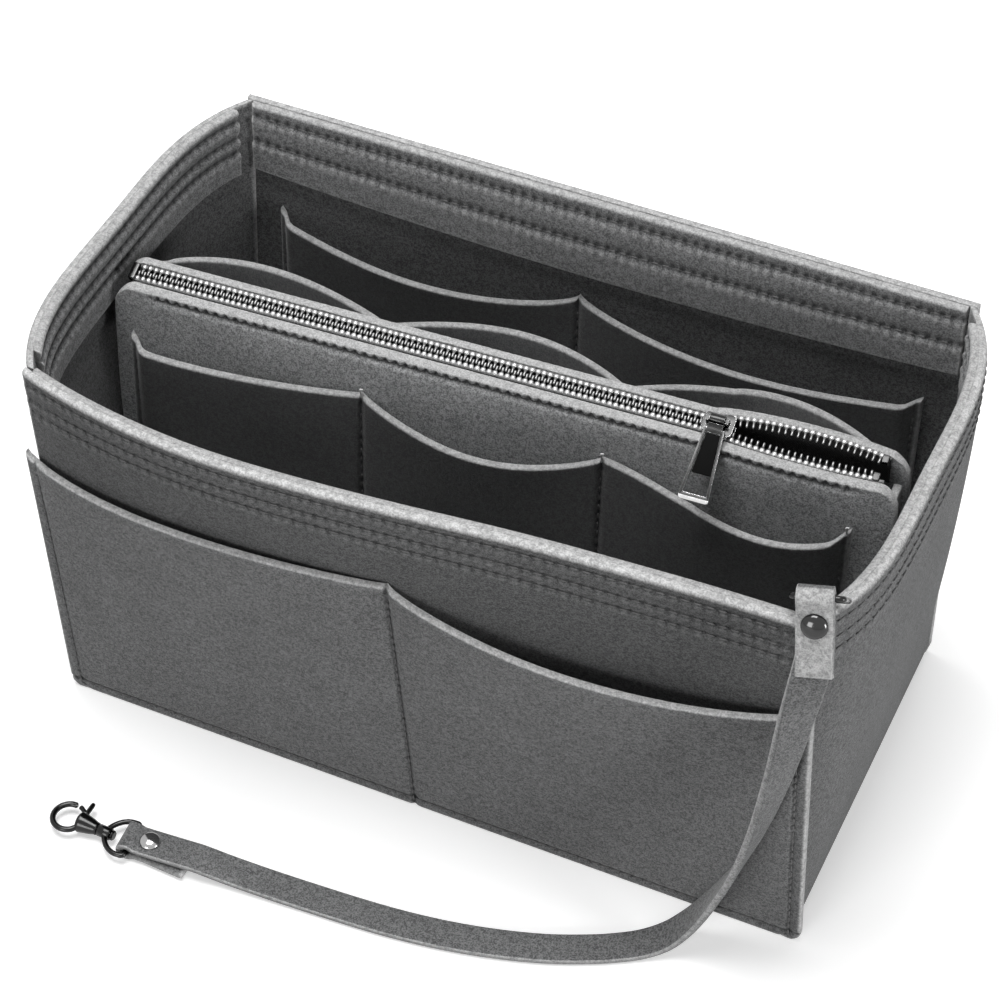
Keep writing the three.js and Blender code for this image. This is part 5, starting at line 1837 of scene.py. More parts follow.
@dataclass(frozen=True)
class ZipChain:
    """Tapes, teeth, stops, slider and puller."""

    pouch: ZipPouch
    width: float = 6.4
    thickness: float = 2.2
    pitch: float = 2.2
    reach: float = 0.8
    tape_thickness: float = 0.7
    tape_depth: float = 11.0

    @property
    def half(self) -> float:
        """Half the chain's length."""
        return self.pouch.length / 2 - self.pouch.corner + 2

    def on_chain(self, points: Array) -> Array:
        """Moves points from the chain's tilted plane to the maker's frame.

        Args:
            points: points in the chain's own frame.

        Returns:
            The moved points.
        """
        angle = math.radians(self.pouch.tilt)
        c, s = math.cos(angle), math.sin(angle)
        y = points[..., 1] * c - points[..., 2] * s
        z = points[..., 1] * s + points[..., 2] * c + self.pouch.height
        return self.pouch.placed(np.stack([points[..., 0], y, z], axis=-1))

    def bow(self, side: Side) -> float:
        """How far this side of the open mouth bows in the chain's plane."""
        return self.pouch.open_by(side) / math.cos(math.radians(self.pouch.tilt))

    def tape_surface(self, side: Side, u: Array, v: Array, depth: Array) -> Array:
        """A tape; the near face lies against the panel.

        Args:
            side: which tape.
            u: along the tape, from the left.
            v: up the tape.
            depth: from the near face.

        Returns:
            The points.
        """
        pouch, angle = self.pouch, math.radians(self.pouch.tilt)
        under = self.thickness / 2 * math.cos(angle) + pouch.gap
        top = pouch.height + side.value * self.width * math.sin(angle) / 2 - under
        x = (2 * u - 1) * self.half
        z = top - self.tape_depth * (1 - v)
        y = pouch.side_reach(side, x, z) - pouch.felt - pouch.gap - depth
        return pouch.placed(np.stack([x, side.value * y, z], axis=-1))

    def tooth(self) -> Object:
        """One tooth: a clamped foot, a neck and a rounded head, with its tip towards +Y.

        Returns:
            The object that the repeats are made from.
        """
        half = self.width / 2
        sections = (  # distance from the foot, width and height
            (0.0, 1.4, 1.5), (0.2, 1.9, 2.2), (1.45, 1.9, 2.1), (1.85, 0.95, 1.5), (half - 0.35, 0.8, 1.3),
            (half + 0.15, 0.95, 1.5), (half + 0.55, 0.85, 1.3), (half + self.reach, 0.45, 0.9),
        )
        outline = [(-1, -0.6), (-0.6, -1), (0.6, -1), (1, -0.6), (1, 0.6), (0.6, 1), (-0.6, 1), (-1, 0.6)]
        points, faces = loft(
            [[(a * wide / 2, y - half, b * tall / 2) for a, b in outline] for y, wide, tall in sections]
        )
        mesh = bpy.data.meshes.new("tooth")
        mesh.from_pydata((points * MM).tolist(), [], faces)
        work = bmesh.new()
        work.from_mesh(mesh)
        # The feet get the edge mark and its paler colour: painted light on the feet.
        foot = work.faces.layers.float.new("edge")
        for face in work.faces:
            face[foot] = 1.0 if face.calc_center_median().y < (1.5 - half) * MM else 0.0
        bmesh.ops.recalc_face_normals(work, faces=work.faces)
        work.to_mesh(mesh)
        work.free()
        return linked("tooth", mesh)

    def tooth_row(self, side: Side) -> Row:
        """Marks the teeth of one row.

        Args:
            side: which row.

        Returns:
            Points in the middle of the closed chain, moved out where the mouth is open.
        """
        count = int(2 * self.half / self.pitch)
        first = -self.half + (0.0 if side is Side.FRONT else self.pitch / 2)
        x = first + self.pitch * np.arange(count)

        def at(places: Array, z: float) -> Array:
            """Points of the row."""
            off = side.value * self.bow(side) * self.pouch.mouth_bow(places)
            return self.on_chain(np.stack([places, off, np.full_like(places, z)], axis=-1))

        points = at(x, 0.0)
        return Row(points, -side.value * unit(at(x + 0.2, 0.0) - at(x - 0.2, 0.0)), at(x, 1.0) - points)

    def cord_edge(self, side: Side) -> Shell:
        """The corded edge that the teeth are clamped on.

        Args:
            side: which edge.

        Returns:
            Its points and faces.
        """
        x = np.linspace(-self.half - 0.4, self.half + 0.4, 260)
        off = side.value * (self.bow(side) * self.pouch.mouth_bow(x) + self.width / 2 - 0.45)
        path = self.on_chain(np.stack([x, off, np.zeros_like(x)], axis=-1))
        return tube_mesh(path, [0.62] * len(x), 8, closed=False)

    def build(self, finishes: Finishes, repeater: Repeater) -> None:
        """Makes and dresses the zip.

        Args:
            finishes: the materials.
            repeater: sets the teeth.
        """
        tooth = self.tooth()
        for side, name in ((Side.FRONT, "front"), (Side.REAR, "rear")):
            slab = Slab(
                f"woven_tape_{name}", partial(self.tape_surface, side), 2 * self.half, self.tape_depth,
                self.tape_thickness, near_round=0.2, far_round=0.2, u_pitch=2.0, v_pitch=1.2, cut_reach=0.1,
            )
            made = settle(slab.build(finishes.tape), Body.POUCH, Slot.TAPE, f"zip_tape_{name}")
            values = {"Size": 1.0, "Lean": 0.05, "Tooth": tooth, "Material": finishes.teeth}
            teeth = repeater.run(repeater.teeth, f"metal_teeth_{name}", [self.tooth_row(side)], values)
            settle(teeth, Body.POUCH, Slot.NICKEL, f"zip_teeth_{name}")
            # The paler cord is painted light between the teeth's feet.
            edge = merged_object(f"corded_edge_{name}", [self.cord_edge(side)], finishes.cord)
            settle(edge, Body.POUCH, Slot.TAPE)
        bpy.data.objects.remove(tooth)
        for node in ("zip_bottom_stop", "zip_top_stop_front", "zip_top_stop_rear"):
            settle(refined(node, "pressed_" + node, 0.35, finishes.gunmetal), Body.POUCH, Slot.NICKEL, node)
        slider = refined("zip_slider", "cast_slider", 0.16, finishes.slider)
        settle(slider, Body.SLIDER, Slot.GUNMETAL, "zip_slider")
        # The puller's lowest 1.9 mm gets the painted highlight too.
        puller = refined("zip_puller", "cast_puller", 0.2, finishes.slider, 1.9)
        settle(puller, Body.PULLER, Slot.GUNMETAL, "zip_puller")
        # The near-black inlay is a painted dark reflection.
        inlay = refined("zip_puller_inlay", "lacquer_inlay", 0.12, finishes.inlay)
        settle(inlay, Body.PULLER, Slot.INLAY, "zip_puller_inlay")


# The key strap


def turned(vector: Array, axis: Array, degrees: float) -> Array:
    """Turns a vector about an axis.

    Args:
        vector: the vector.
        axis: a direction of length 1.
        degrees: the angle.

    Returns:
        The turned vector.
    """
    angle = math.radians(degrees)
    side = np.cross(axis, vector) * math.sin(angle)
    return vector * math.cos(angle) + side + axis * np.dot(axis, vector) * (1 - math.cos(angle))


def through(knots: Array, parts: int) -> tuple[Array, Array]:
    """A smooth curve through points, of the centripetal kind.

    Args:
        knots: n x 3 points.
        parts: steps for each stretch.

    Returns:
        The points of the curve and the place of each, counted in knots.
    """
    points, places = [], []
    last = len(knots) - 1
    for i in range(last):
        p1, p2 = knots[i], knots[i + 1]
        p0 = knots[i - 1] if i else 2 * p1 - p2
        p3 = knots[i + 2] if i + 2 <= last else 2 * p2 - p1
        t0, t1, t2 = (math.sqrt(max(np.linalg.norm(b - a), 1e-6)) for a, b in ((p0, p1), (p1, p2), (p2, p3)))
        m1 = ((p1 - p0) / t0 - (p2 - p0) / (t0 + t1) + (p2 - p1) / t1) * t1
        m2 = ((p2 - p1) / t1 - (p3 - p1) / (t1 + t2) + (p3 - p2) / t2) * t1
        for k in range(parts):
            s = k / parts
            a, b = 2 * s**3 - 3 * s**2 + 1, s**3 - 2 * s**2 + s
            points.append(a * p1 + b * m1 + (3 * s**2 - 2 * s**3) * p2 + (s**3 - s**2) * m2)
            places.append(i + s)
    points.append(knots[-1])
    places.append(float(last))
    return np.array(points), np.array(places)


def flat_axes(degrees: float) -> tuple[Array, Array]:
    """Directions on the floor along a heading, which counts from -X, and across it.

    Args:
        degrees: the heading.

    Returns:
        Two directions.
    """
    c, s = math.cos(math.radians(degrees)), math.sin(math.radians(degrees))
    return np.array([-c, -s, 0.0]), np.array([-s, c, 0.0])


# The strap's lay between the tab and its lower end: x, y and z in metres and the heading of its width
STRAP_ROUTE = (
    (0.1406, -0.0906, 0.132, 38), (0.1382, -0.091, 0.112, 52), (0.1352, -0.091, 0.0925, 64),
    (0.1324, -0.091, 0.077, 72), (0.129, -0.091, 0.062, 79), (0.1254, -0.091, 0.049, 86),
    (0.1206, -0.091, 0.036, 93), (0.1156, -0.0914, 0.024, 101), (0.1096, -0.0926, 0.0126, 110),
    (0.1034, -0.0954, 0.0052, 118), (0.0966, -0.0996, 0.0022, 122), (0.0884, -0.1046, 0.0016, 122),
    (0.0793, -0.1094, 0.0016, 118), (0.0646, -0.1156, 0.0016, 109), (0.0406, -0.1224, 0.0016, 101),
    (0.0154, -0.1266, 0.0016, 96), (-0.0228, -0.1294, 0.0019, 93), (-0.048, -0.131, 0.0032, 93),
)


@dataclass(frozen=True)
class KeyStrap:
    """The felt key strap, its rivets and its anchor on the rim."""

    box: FeltBox
    width: float = 12.0
    thickness: float = 2.5
    rest: float = 0.3
    end_rest: float = 1.2
    tab_x: float = 142.4
    tab_turn: float = 10.0
    tab_lean: float = 20.0
    tab_roll: float = 6.5
    tab_clear: float = 1.0
    tab_drop: float = 13.2
    tab_rivet: float = 4.9
    tab_fold: float = 13.5
    tab_under: float = 8.0
    tab_drift: float = 1.8
    tab_painted_light: float = 0.85
    fold_lead: float = 3.5
    ring_wire: float = 1.0
    ring_skew: float = 2.0
    ring_left: float = 8.4
    ring_right: float = 7.4
    ring_corner: float = 1.6
    anchor_width: float = 3.0
    anchor_thickness: float = 1.6
    anchor_bottom: float = 146.0
    anchor_loop_z: float = 170.2
    anchor_slack: float = 0.95
    anchor_inset: float = 6.5
    cap: float = 4.3
    dome: float = 2.2
    bail_wire: float = 1.0
    end_x: float = -86.6
    end_y: float = -134.1
    end_heading: float = 4.0
    end_underlap: float = 23.5
    end_rivet: float = 7.4
    end_slip: float = 2.0
    low_scale: float = 0.9

    @property
    def ply(self) -> float:
        """Distance between the middles of two plies."""
        return self.thickness + self.box.gap

    def tab_axes(self) -> tuple[Array, Array, Array]:
        """The tab's upward, crosswise and outward directions.

        Returns:
            Three directions.
        """
        turn, lean = math.radians(self.tab_turn), math.radians(self.tab_lean)
        up = np.array([0.0, 0.0, 1.0])
        out = np.array([math.sin(turn), -math.cos(turn), 0.0])
        across = np.array([math.cos(turn), math.sin(turn), 0.0])
        tab_up = up * math.cos(lean) - out * math.sin(lean)
        normal = out * math.cos(lean) + up * math.sin(lean)
        return turned(tab_up, normal, self.tab_roll), turned(across, normal, self.tab_roll), normal

    def rim_front(self, x: float, z: float) -> float:
        """Y of the front rim's outer face without its ripple."""
        flat = FeltBox(ripple=0.0)
        return float(flat.front_face(np.array(x), np.array(z)))

    def on_tab(self, along: float, out: float, across: float = 0.0) -> Array:
        """A point on the tab.

        Args:
            along: up from the rim.
            out: away from the inner ply.
            across: to the right.

        Returns:
            The point.
        """
        up, side, normal = self.tab_axes()
        foot = np.array([self.tab_x, self.rim_front(self.tab_x, self.box.height), self.box.height])
        return foot + up * along + normal * (out + self.tab_clear + self.thickness / 2) + side * across

    def on_end(self, along: float, height: float, across: float = 0.0) -> Array:
        """A point at the strap's lower end."""
        ahead, side = flat_axes(self.end_heading)
        return np.array([self.end_x, self.end_y, height]) + ahead * along + side * across

    @property
    def bail_height(self) -> float:
        """Height of the bail's wire."""
        return self.bail_wire + self.box.gap + self.thickness + self.rest

    @property
    def end_middle(self) -> float:
        """Height between the plies of the lower end."""
        return self.end_rest + self.thickness / 2 + self.ply / 2

    def end_lift(self, along: float) -> float:
        """How far the lower end rises towards its bail."""
        share = float(smooth_step(np.array(1 + along / (2 * self.fold_lead))))
        return (self.bail_height - self.end_middle) * share

    def fold(self, wire: float) -> list[tuple[float, float]]:
        """Two plies that open round a wire.

        Args:
            wire: the wire's radius.

        Returns:
            Along and out, from one ply over the fold to the other.
        """
        radius = wire + self.box.gap + self.thickness / 2
        side = []
        for along in np.linspace(-self.fold_lead, 0, 7):
            share = float(smooth_step(np.array(1 + along / self.fold_lead)))
            side.append((float(along), self.ply / 2 + (radius - self.ply / 2) * share))
        arc = [(math.sin(a) * radius, math.cos(a) * radius) for a in np.linspace(0, math.pi, 17)]
        return side[:-1] + arc + [(along, -out) for along, out in side[-2::-1]]

    def stations(self) -> tuple[Array, Array, int, int]:
        """The strap's middle line and the direction of its width.

        Returns:
            The points, the width directions, and the first and last point of the single run.
        """
        points, widths = [], []
        _, tab_across, _ = self.tab_axes()
        _, end_across = flat_axes(self.end_heading)

        def put(point: Array, across: Array) -> None:
            """Adds one station."""
            points.append(point)
            widths.append(across)

        for along in np.linspace(-self.tab_drop, self.tab_fold - self.fold_lead, 12)[:-1]:
            put(self.on_tab(along, self.ply), tab_across)
        for along, out in self.fold(self.ring_wire):
            put(self.on_tab(self.tab_fold + along, self.ply / 2 + out), tab_across)
        start = len(points) - 12
        for along in np.linspace(self.tab_fold - self.fold_lead, self.tab_under - self.tab_drop, 10)[1:]:
            put(self.on_tab(along, 0.0), tab_across)
        knots = [self.on_tab(self.tab_under - self.tab_drop, 0.0)]
        knots.append(self.on_tab(-self.tab_drop - 1, 0.3, -self.tab_drift))
        headings = [self.tab_turn, self.tab_turn + 3]
        for x, y, z, heading in STRAP_ROUTE:
            knots.append(np.array([x, y, z]) / MM)
            headings.append(heading)
        for along in (-26.0, -20.0):
            knots.append(self.on_end(along, self.end_middle + self.ply / 2))
            headings.append(90 + self.end_heading)
        line, places = through(np.array(knots), 8)
        angles = np.radians(np.interp(places, np.arange(len(knots)), headings))
        for point, angle in zip(line[1:], angles[1:]):
            put(point, np.array([math.cos(angle), math.sin(angle), 0.0]))
        for along in (-18.0, -16.0, -13.0, -10.0, -2 * self.fold_lead, -5.5):
            put(self.on_end(along, self.end_middle + self.ply / 2 + self.end_lift(along)), end_across)
        for along, out in self.fold(self.bail_wire):
            put(self.on_end(along, self.end_middle + self.end_lift(along) + out), end_across)
        stop = len(points) - 12
        for along in np.linspace(-2 * self.fold_lead, -self.end_underlap, 12):
            height = self.end_rest + self.thickness / 2 + self.end_lift(along)
            slip = self.end_slip * (along + 2 * self.fold_lead) / (self.end_underlap - 2 * self.fold_lead)
            put(self.on_end(along, height, slip), end_across)
        return np.array(points), np.array(widths), start, stop

    def build_strap(self, finishes: Finishes) -> tuple[Object, Array]:
        """The felt ribbon with soft edges.

        Args:
            finishes: the materials.

        Returns:
            The strap and the points of its single run.
        """
        middle, widths, start, stop = self.stations()
        tangents = unit(np.gradient(middle, axis=0))
        across = unit(widths - tangents * (widths * tangents).sum(axis=1, keepdims=True))
        normal = np.cross(tangents, across)
        run = run_lengths(middle)
        section, cut_and_light_marks = self.section()
        shrink = np.minimum(np.minimum(run, run[-1] - run) / 0.8, 1.0) * 0.25 + 0.75
        rings, cut, flat = [], [], []
        for i, point in enumerate(middle):
            rings.append([point + across[i] * a + normal[i] * b * shrink[i] for a, b in section])
            for (a, b), mark in zip(section, cut_and_light_marks):
                # Painted light: the tab's outer face gets a pale cut mark, as lit from above.
                face = self.tab_painted_light if i < start - 4 and b < 0 else 0.0
                cut.append(max(mark, face, 1.0 if shrink[i] < 0.99 else 0.0))
                flat.append((run[i], a))
        made = merged_object("felt_strap", [loft(rings)], finishes.felt)
        point_attribute(made, "cut", np.array(cut))
        point_attribute(made, "sunk", np.zeros(len(cut)))
        cloth_map(made, np.array(flat))
        return settle(made, Body.BOX, Slot.FELT, "strap"), framed(middle[start:stop])

    def section(self) -> tuple[list[tuple[float, float]], list[float]]:
        """The ribbon's cross-section and where it is a cut edge; its left edge is marked paler than its
        right, painted light.

        Returns:
            Points of the section and a mark from 0 to 1 for each.
        """
        half, tall, corner = self.width / 2, self.thickness / 2, 0.55
        flat = half - corner
        upper = [(a, tall) for a in (-flat, *np.linspace(-flat + 0.3, flat - 0.3, 6), flat)]
        for turn in (0.5, 1.05, 1.57):
            upper.append((flat + corner * math.sin(turn), tall - corner + corner * math.cos(turn)))
        points = upper + [(-a, -b) for a, b in upper]
        # Left edge 0.7, right edge 0.2: the left edge's extra paleness is painted light.
        return points, [0.0 if abs(a) < flat + 0.01 else 0.7 if a < 0 else 0.2 for a, _ in points]

    def rivet(self, name: str, scale: float, face: Array, out: Array, material: Material) -> Object:
        """A domed rivet through two plies.

        Args:
            name: the object's name.
            scale: its size.
            face: the point on the outer ply.
            out: its direction.
            material: its finish.

        Returns:
            The rivet.
        """
        gap, cap = self.box.gap, self.cap * scale
        low = -(2 * self.thickness + gap) - gap
        profile = [(0.0, gap + self.dome * scale)]
        for angle in np.linspace(0.12, math.pi / 2 - 0.08, 12):
            profile.append((math.sin(angle) * cap, gap + math.cos(angle) * self.dome * scale))
        profile += [(cap, 0.22), (cap * 0.97, 0.06), (1.3, 0.02), (1.3, low), (3.9 * scale, low - 0.02)]
        profile += [(4.0 * scale, low - 0.3), (3.7 * scale, low - 0.75), (2.0 * scale, low - 0.8)]
        profile.append((0.0, low - 0.8))
        return merged_object(name, [lathe_mesh(profile, 48, axis_at(face, out))], material)

    @property
    def anchor_x(self) -> float:
        """X of the anchor loop's middle."""
        return self.tab_x - self.anchor_inset

    @property
    def loop_radius(self) -> float:
        """Radius of the anchor loop's bend."""
        return self.ring_wire + self.anchor_slack + self.anchor_thickness / 2

    def leg_y(self, z: float) -> float:
        """Y of the loop's leg on the rim band."""
        inside = self.rim_front(self.anchor_x, min(z, self.box.height)) + 2 * (self.box.felt + self.box.gap)
        return inside + self.anchor_thickness / 2

    @property
    def loop_y(self) -> float:
        """Y of the anchor loop's middle."""
        return self.leg_y(self.box.height) + self.loop_radius

    def build_ring(self, finishes: Finishes) -> Object:
        """The wire ring through the tab's fold.

        Args:
            finishes: the materials.

        Returns:
            The ring.
        """
        _, across, _ = self.tab_axes()
        top = self.on_tab(self.tab_fold, self.ply / 2)
        down = np.array([self.anchor_x, self.loop_y, self.anchor_loop_z]) - top
        down = down - across * np.dot(down, across)
        length = float(np.linalg.norm(down))
        corner = self.ring_corner
        left, right = corner - self.ring_left - self.ring_wire, self.ring_right + self.ring_wire - corner
        low = length - corner
        path = []
        for x, y, start in ((right, low, 0), (left, low, 90), (left, corner, 180), (right, corner, 270)):
            for angle in np.radians(start + np.linspace(0, 90, 9)):
                over, below = x + math.cos(angle) * corner, y + math.sin(angle) * corner
                if over < 0:
                    over += self.ring_skew * (1 - below / length)
                path.append(top + across * over + down / length * below)
        wire = tube_mesh(np.array(path), [self.ring_wire] * len(path), 14, True)
        return merged_object("wire_ring", [wire], finishes.gunmetal)

    def build_loop(self, finishes: Finishes) -> Object:
        """The narrow felt loop that holds the ring on the front rim band.

        Args:
            finishes: the materials.

        Returns:
            The loop.
        """
        radius, loop_y, z_top = self.loop_radius, self.loop_y, self.anchor_loop_z
        leg = self.anchor_thickness + self.box.gap
        turns = np.linspace(0, math.pi, 13)[1:]
        line = [(self.leg_y(z), z) for z in (self.anchor_bottom, 157.0, self.box.height, z_top)]
        line += [(loop_y - math.cos(a) * radius, z_top + math.sin(a) * radius) for a in turns]
        line += [(loop_y + radius * 0.86, z_top - 2), (self.leg_y(self.box.height) + leg + 1.6, z_top - 5.5)]
        line += [(self.leg_y(z) + leg, z) for z in (z_top - 9, 155.0, self.anchor_bottom)]
        path, _ = through(np.array([(self.anchor_x, y, z) for y, z in line]), 3)
        half, tall = self.anchor_width / 2, self.anchor_thickness / 2
        section = [(-half + 0.4, tall), (half - 0.4, tall), (half, tall - 0.4), (half, -tall + 0.4)]
        section += [(-a, -b) for a, b in section]
        side = np.array([1.0, 0.0, 0.0])
        rings = []
        for point, tangent in zip(path, unit(np.gradient(path, axis=0))):
            normal = np.cross(tangent, side)
            rings.append([point + side * a + normal * b for a, b in section])
        return merged_object("felt_anchor_loop", [loft(rings)], finishes.lining)

    def build(self, finishes: Finishes) -> tuple[Object, Array, list[Object]]:
        """Makes and dresses the strap, its rivets and its anchor.

        Args:
            finishes: the materials.

        Returns:
            The strap, the points of its run and the pieces on it.
        """
        strap, run = self.build_strap(finishes)
        _, _, normal = self.tab_axes()
        high = self.on_tab(self.tab_rivet, self.ply + self.thickness / 2)
        low_height = self.end_middle + self.end_lift(-self.end_rivet) + self.ply / 2 + self.thickness / 2
        low = self.on_end(-self.end_rivet, low_height)
        upper = self.rivet("domed_upper_rivet", 1.0, high, normal, finishes.rivet)
        up = np.array([0.0, 0.0, 1.0])
        # The lower rivet's brighter finish is a painted reflection.
        lower = self.rivet("domed_lower_rivet", self.low_scale, low, up, finishes.rivet_painted_reflection)
        settle(upper, Body.BOX, Slot.NICKEL, "strap_upper_rivet")
        settle(lower, Body.BOX, Slot.NICKEL, "strap_lower_rivet")
        ring = settle(self.build_ring(finishes), Body.BOX, Slot.GUNMETAL, "anchor_ring")
        settle(self.build_loop(finishes), Body.BOX, Slot.FELT_DARK, "anchor_loop")
        return strap, run, [upper, lower, ring]


@dataclass(frozen=True)
class SwivelClasp:
    """The clasp at the strap's lower end: D bail, swivel hook and thumb lever."""

    strap: KeyStrap
    half_width: float = 7.6
    corner: float = 1.2
    length: float = 10.6
    shoulder: float = 2.6
    point: float = 1.4
    turn: float = -7.0
    shank: float = 1.05
    head: float = 1.9
    collar_radius: float = 2.3
    collar_length: float = 5.2
    hook_wire: float = 1.1
    hook_radius: float = 5.8
    body: float = 3.9
    body_nose: float = 2.4
    body_length: float = 8.0
    body_taper: float = 0.9
    seat: float = 0.77
    lever_wire: float = 0.9
    pivot_along: float = 7.0
    pivot_inset: float = 0.9
    thumb_reach: float = 6.0
    thumb_lean: float = -0.6
    notch: tuple[float, float, float, float] = (3.8, 1.6, 1.2, 6.0)

    def axes(self) -> tuple[Array, Array]:
        """Along the hook and across it."""
        ahead, side = flat_axes(self.strap.end_heading + self.turn)
        return ahead, -side

    def on_bail(self, along: float, across: float) -> Array:
        """A point of the bail."""
        return self.strap.on_end(along, self.strap.bail_height, across)

    def on_hook(self, along: float, across: float, height: float = 0.0) -> Array:
        """A point of the hook, from the swivel's middle."""
        ahead, side = self.axes()
        return self.on_bail(self.length, 0.0) + ahead * along + side * across + np.array([0.0, 0.0, height])

    def axle(self) -> Matrix:
        """Places a turned shape on the swivel's axis."""
        return axis_at(self.on_hook(0.0, 0.0), self.axes()[0])

    def build_bail(self, finishes: Finishes) -> Object:
        """The D ring and its collar.

        Args:
            finishes: the materials.

        Returns:
            The bail.
        """
        half, corner = self.half_width, self.corner
        flat = [(0.0, a) for a in np.linspace(-half + corner, half - corner, 9)]
        bend = [(corner * (1 - math.cos(t)), corner * math.sin(t)) for t in np.radians([18, 36, 54, 72, 90])]
        flat += [(a, half - corner + b) for a, b in bend]
        for t in np.linspace(0, math.pi, 41):
            share = math.copysign(abs(math.cos(t)) ** self.point, math.cos(t))
            flat.append((self.shoulder + math.sin(t) * (self.length - self.shoulder), share * half))
        flat += [(a, -half + corner - b) for a, b in reversed(bend)]
        path = np.array([self.on_bail(a, b) for a, b in flat])
        wire = tube_mesh(path, [self.strap.bail_wire] * len(path), 14, True)
        radius, reach = self.collar_radius, self.collar_length / 2
        profile = [(1.35, -reach), (radius - 0.3, -reach), (radius, -reach + 0.3), (radius, reach - 0.3)]
        profile += [(radius - 0.3, reach), (1.35, reach), (1.35, -reach)]
        return merged_object("wire_bail", [wire, lathe_mesh(profile, 32, self.axle())], finishes.gunmetal)

    @property
    def body_start(self) -> float:
        """Where the hook's body begins."""
        return self.collar_length / 2 + self.strap.box.gap

    @property
    def body_end(self) -> float:
        """Where the body ends at the loop."""
        return self.body_start + self.body_length

    @property
    def pivot(self) -> tuple[float, float]:
        """The lever's pivot, along and across the hook."""
        return self.body_start + self.pivot_along, self.pivot_inset - self.body

    def on_loop(self, degrees: float) -> Array:
        """A place on the hook's loop, by its angle.

        Args:
            degrees: the angle, from the hook's far end.

        Returns:
            The point.
        """
        angle, radius = math.radians(degrees), self.hook_radius
        middle = self.body_end + radius * self.seat
        return self.on_hook(middle + math.cos(angle) * radius, math.sin(angle) * radius)

    def notch_box(self) -> Shell:
        """The room for the lever in the body.

        Returns:
            Points and faces of a box.
        """
        long, lead, floor, deep = self.notch
        start = self.pivot[0] - lead
        tall = self.lever_wire + self.strap.box.gap
        sides = ((start, start + long), (-floor - deep, -floor), (-tall, tall))
        faces = [[0, 1, 3, 2], [4, 6, 7, 5], [0, 4, 5, 1], [2, 3, 7, 6], [0, 2, 6, 4], [1, 5, 7, 3]]
        return np.array([self.on_hook(*corner) for corner in product(*sides)]), faces

    def build_hook(self, finishes: Finishes) -> Object:
        """The hook on its swivel, with a notch for the lever.

        Args:
            finishes: the materials.

        Returns:
            The hook.
        """
        start, end, nose, body, head = self.body_start, self.body_end, self.body_nose, self.body, self.head
        taper = self.body_taper
        profile = [(0.0, -start - 1.0), (head - 0.35, -start - 1.0), (head, -start - 0.65)]
        profile += [(head, -start - 0.2), (head - 0.2, -start), (self.shank, -start), (self.shank, start)]
        profile += [(nose - 0.3, start), (nose, start + 0.3), (nose, start + taper)]
        profile += [(nose + 0.5, start + taper + 1.6), (body - 0.2, end - taper - 0.9), (body, end - taper)]
        profile += [(body - 0.15, end - 0.4), (body - 0.6, end), (0.0, end)]
        knots = [self.on_hook(end - 2.4, 2.2), self.on_hook(end - 0.4, 3.0)]
        knots += [self.on_loop(turn) for turn in np.linspace(128, -92, 10)]
        path, _ = through(np.array(knots), 6)
        wire = [self.hook_wire] * len(path)
        wire[-1] *= 0.6
        turned_body = merged_object("hook_body", [lathe_mesh(profile, 36, self.axle())], finishes.gunmetal)
        cutter = merged_object("hook_notch", [self.notch_box()], finishes.gunmetal)
        modifier = turned_body.modifiers.new("notch", "BOOLEAN")
        modifier.object, modifier.operation, modifier.solver = cutter, "DIFFERENCE", "EXACT"
        plain = plain_mesh(turned_body)
        points = np.array([v.co for v in plain.vertices]) / MM - np.array([0.0, ORIGIN_Y, 0.0])
        shell = (points, [list(face.vertices) for face in plain.polygons])
        for spare in (turned_body, cutter):
            bpy.data.objects.remove(spare)
        made = merged_object("swivel_hook", [shell, tube_mesh(path, wire, 14, False)], finishes.gunmetal)
        made.data.set_sharp_from_angle(angle=math.radians(40))
        return made

    def build_lever(self, finishes: Finishes) -> Object:
        """The gate that closes the hook, and its thumb piece.

        Args:
            finishes: the materials.

        Returns:
            The lever.
        """
        along, across = self.pivot
        bend = [self.on_hook(along, across)] + [self.on_loop(turn) for turn in (-140, -127, -115, -103.5)]
        gate, _ = through(np.array(bend), 6)
        tip = self.on_hook(along - self.thumb_lean, across - self.thumb_reach)
        thumb, _ = through(np.array([self.on_hook(along + 0.4, across), tip]), 8)
        shells = []
        for path, end in ((gate, 0.75), (thumb, 0.8)):
            wire = [self.lever_wire] * len(path)
            wire[0], wire[-1] = self.lever_wire * 0.6, self.lever_wire * end
            shells.append(tube_mesh(path, wire, 12, False))
        return merged_object("thumb_lever", shells, finishes.gunmetal)

    def build(self, finishes: Finishes) -> list[Object]:
        """Makes and dresses the clasp.

        Args:
            finishes: the materials.

        Returns:
            Its three pieces.
        """
        return [
            settle(self.build_bail(finishes), Body.BAIL, Slot.GUNMETAL, "clasp_bail"),
            settle(self.build_hook(finishes), Body.HOOK, Slot.GUNMETAL, "clasp_hook"),
            settle(self.build_lever(finishes), Body.LEVER, Slot.GUNMETAL, "clasp_lever"),
        ]


# The studio


def background_rays(sheet: NodeSheet) -> NodeSocket:
    """1 for the rays that see the white background: from the camera, off metal and through clear pieces.

    Args:
        sheet: the nodes of a material or a world.

    Returns:
        The output.
    """
    path = sheet.add("ShaderNodeLightPath").outputs
    seen = sheet.math("MAXIMUM", path["Is Camera Ray"], path["Is Glossy Ray"])
    return sheet.math("MAXIMUM", seen, path["Is Transmission Ray"])


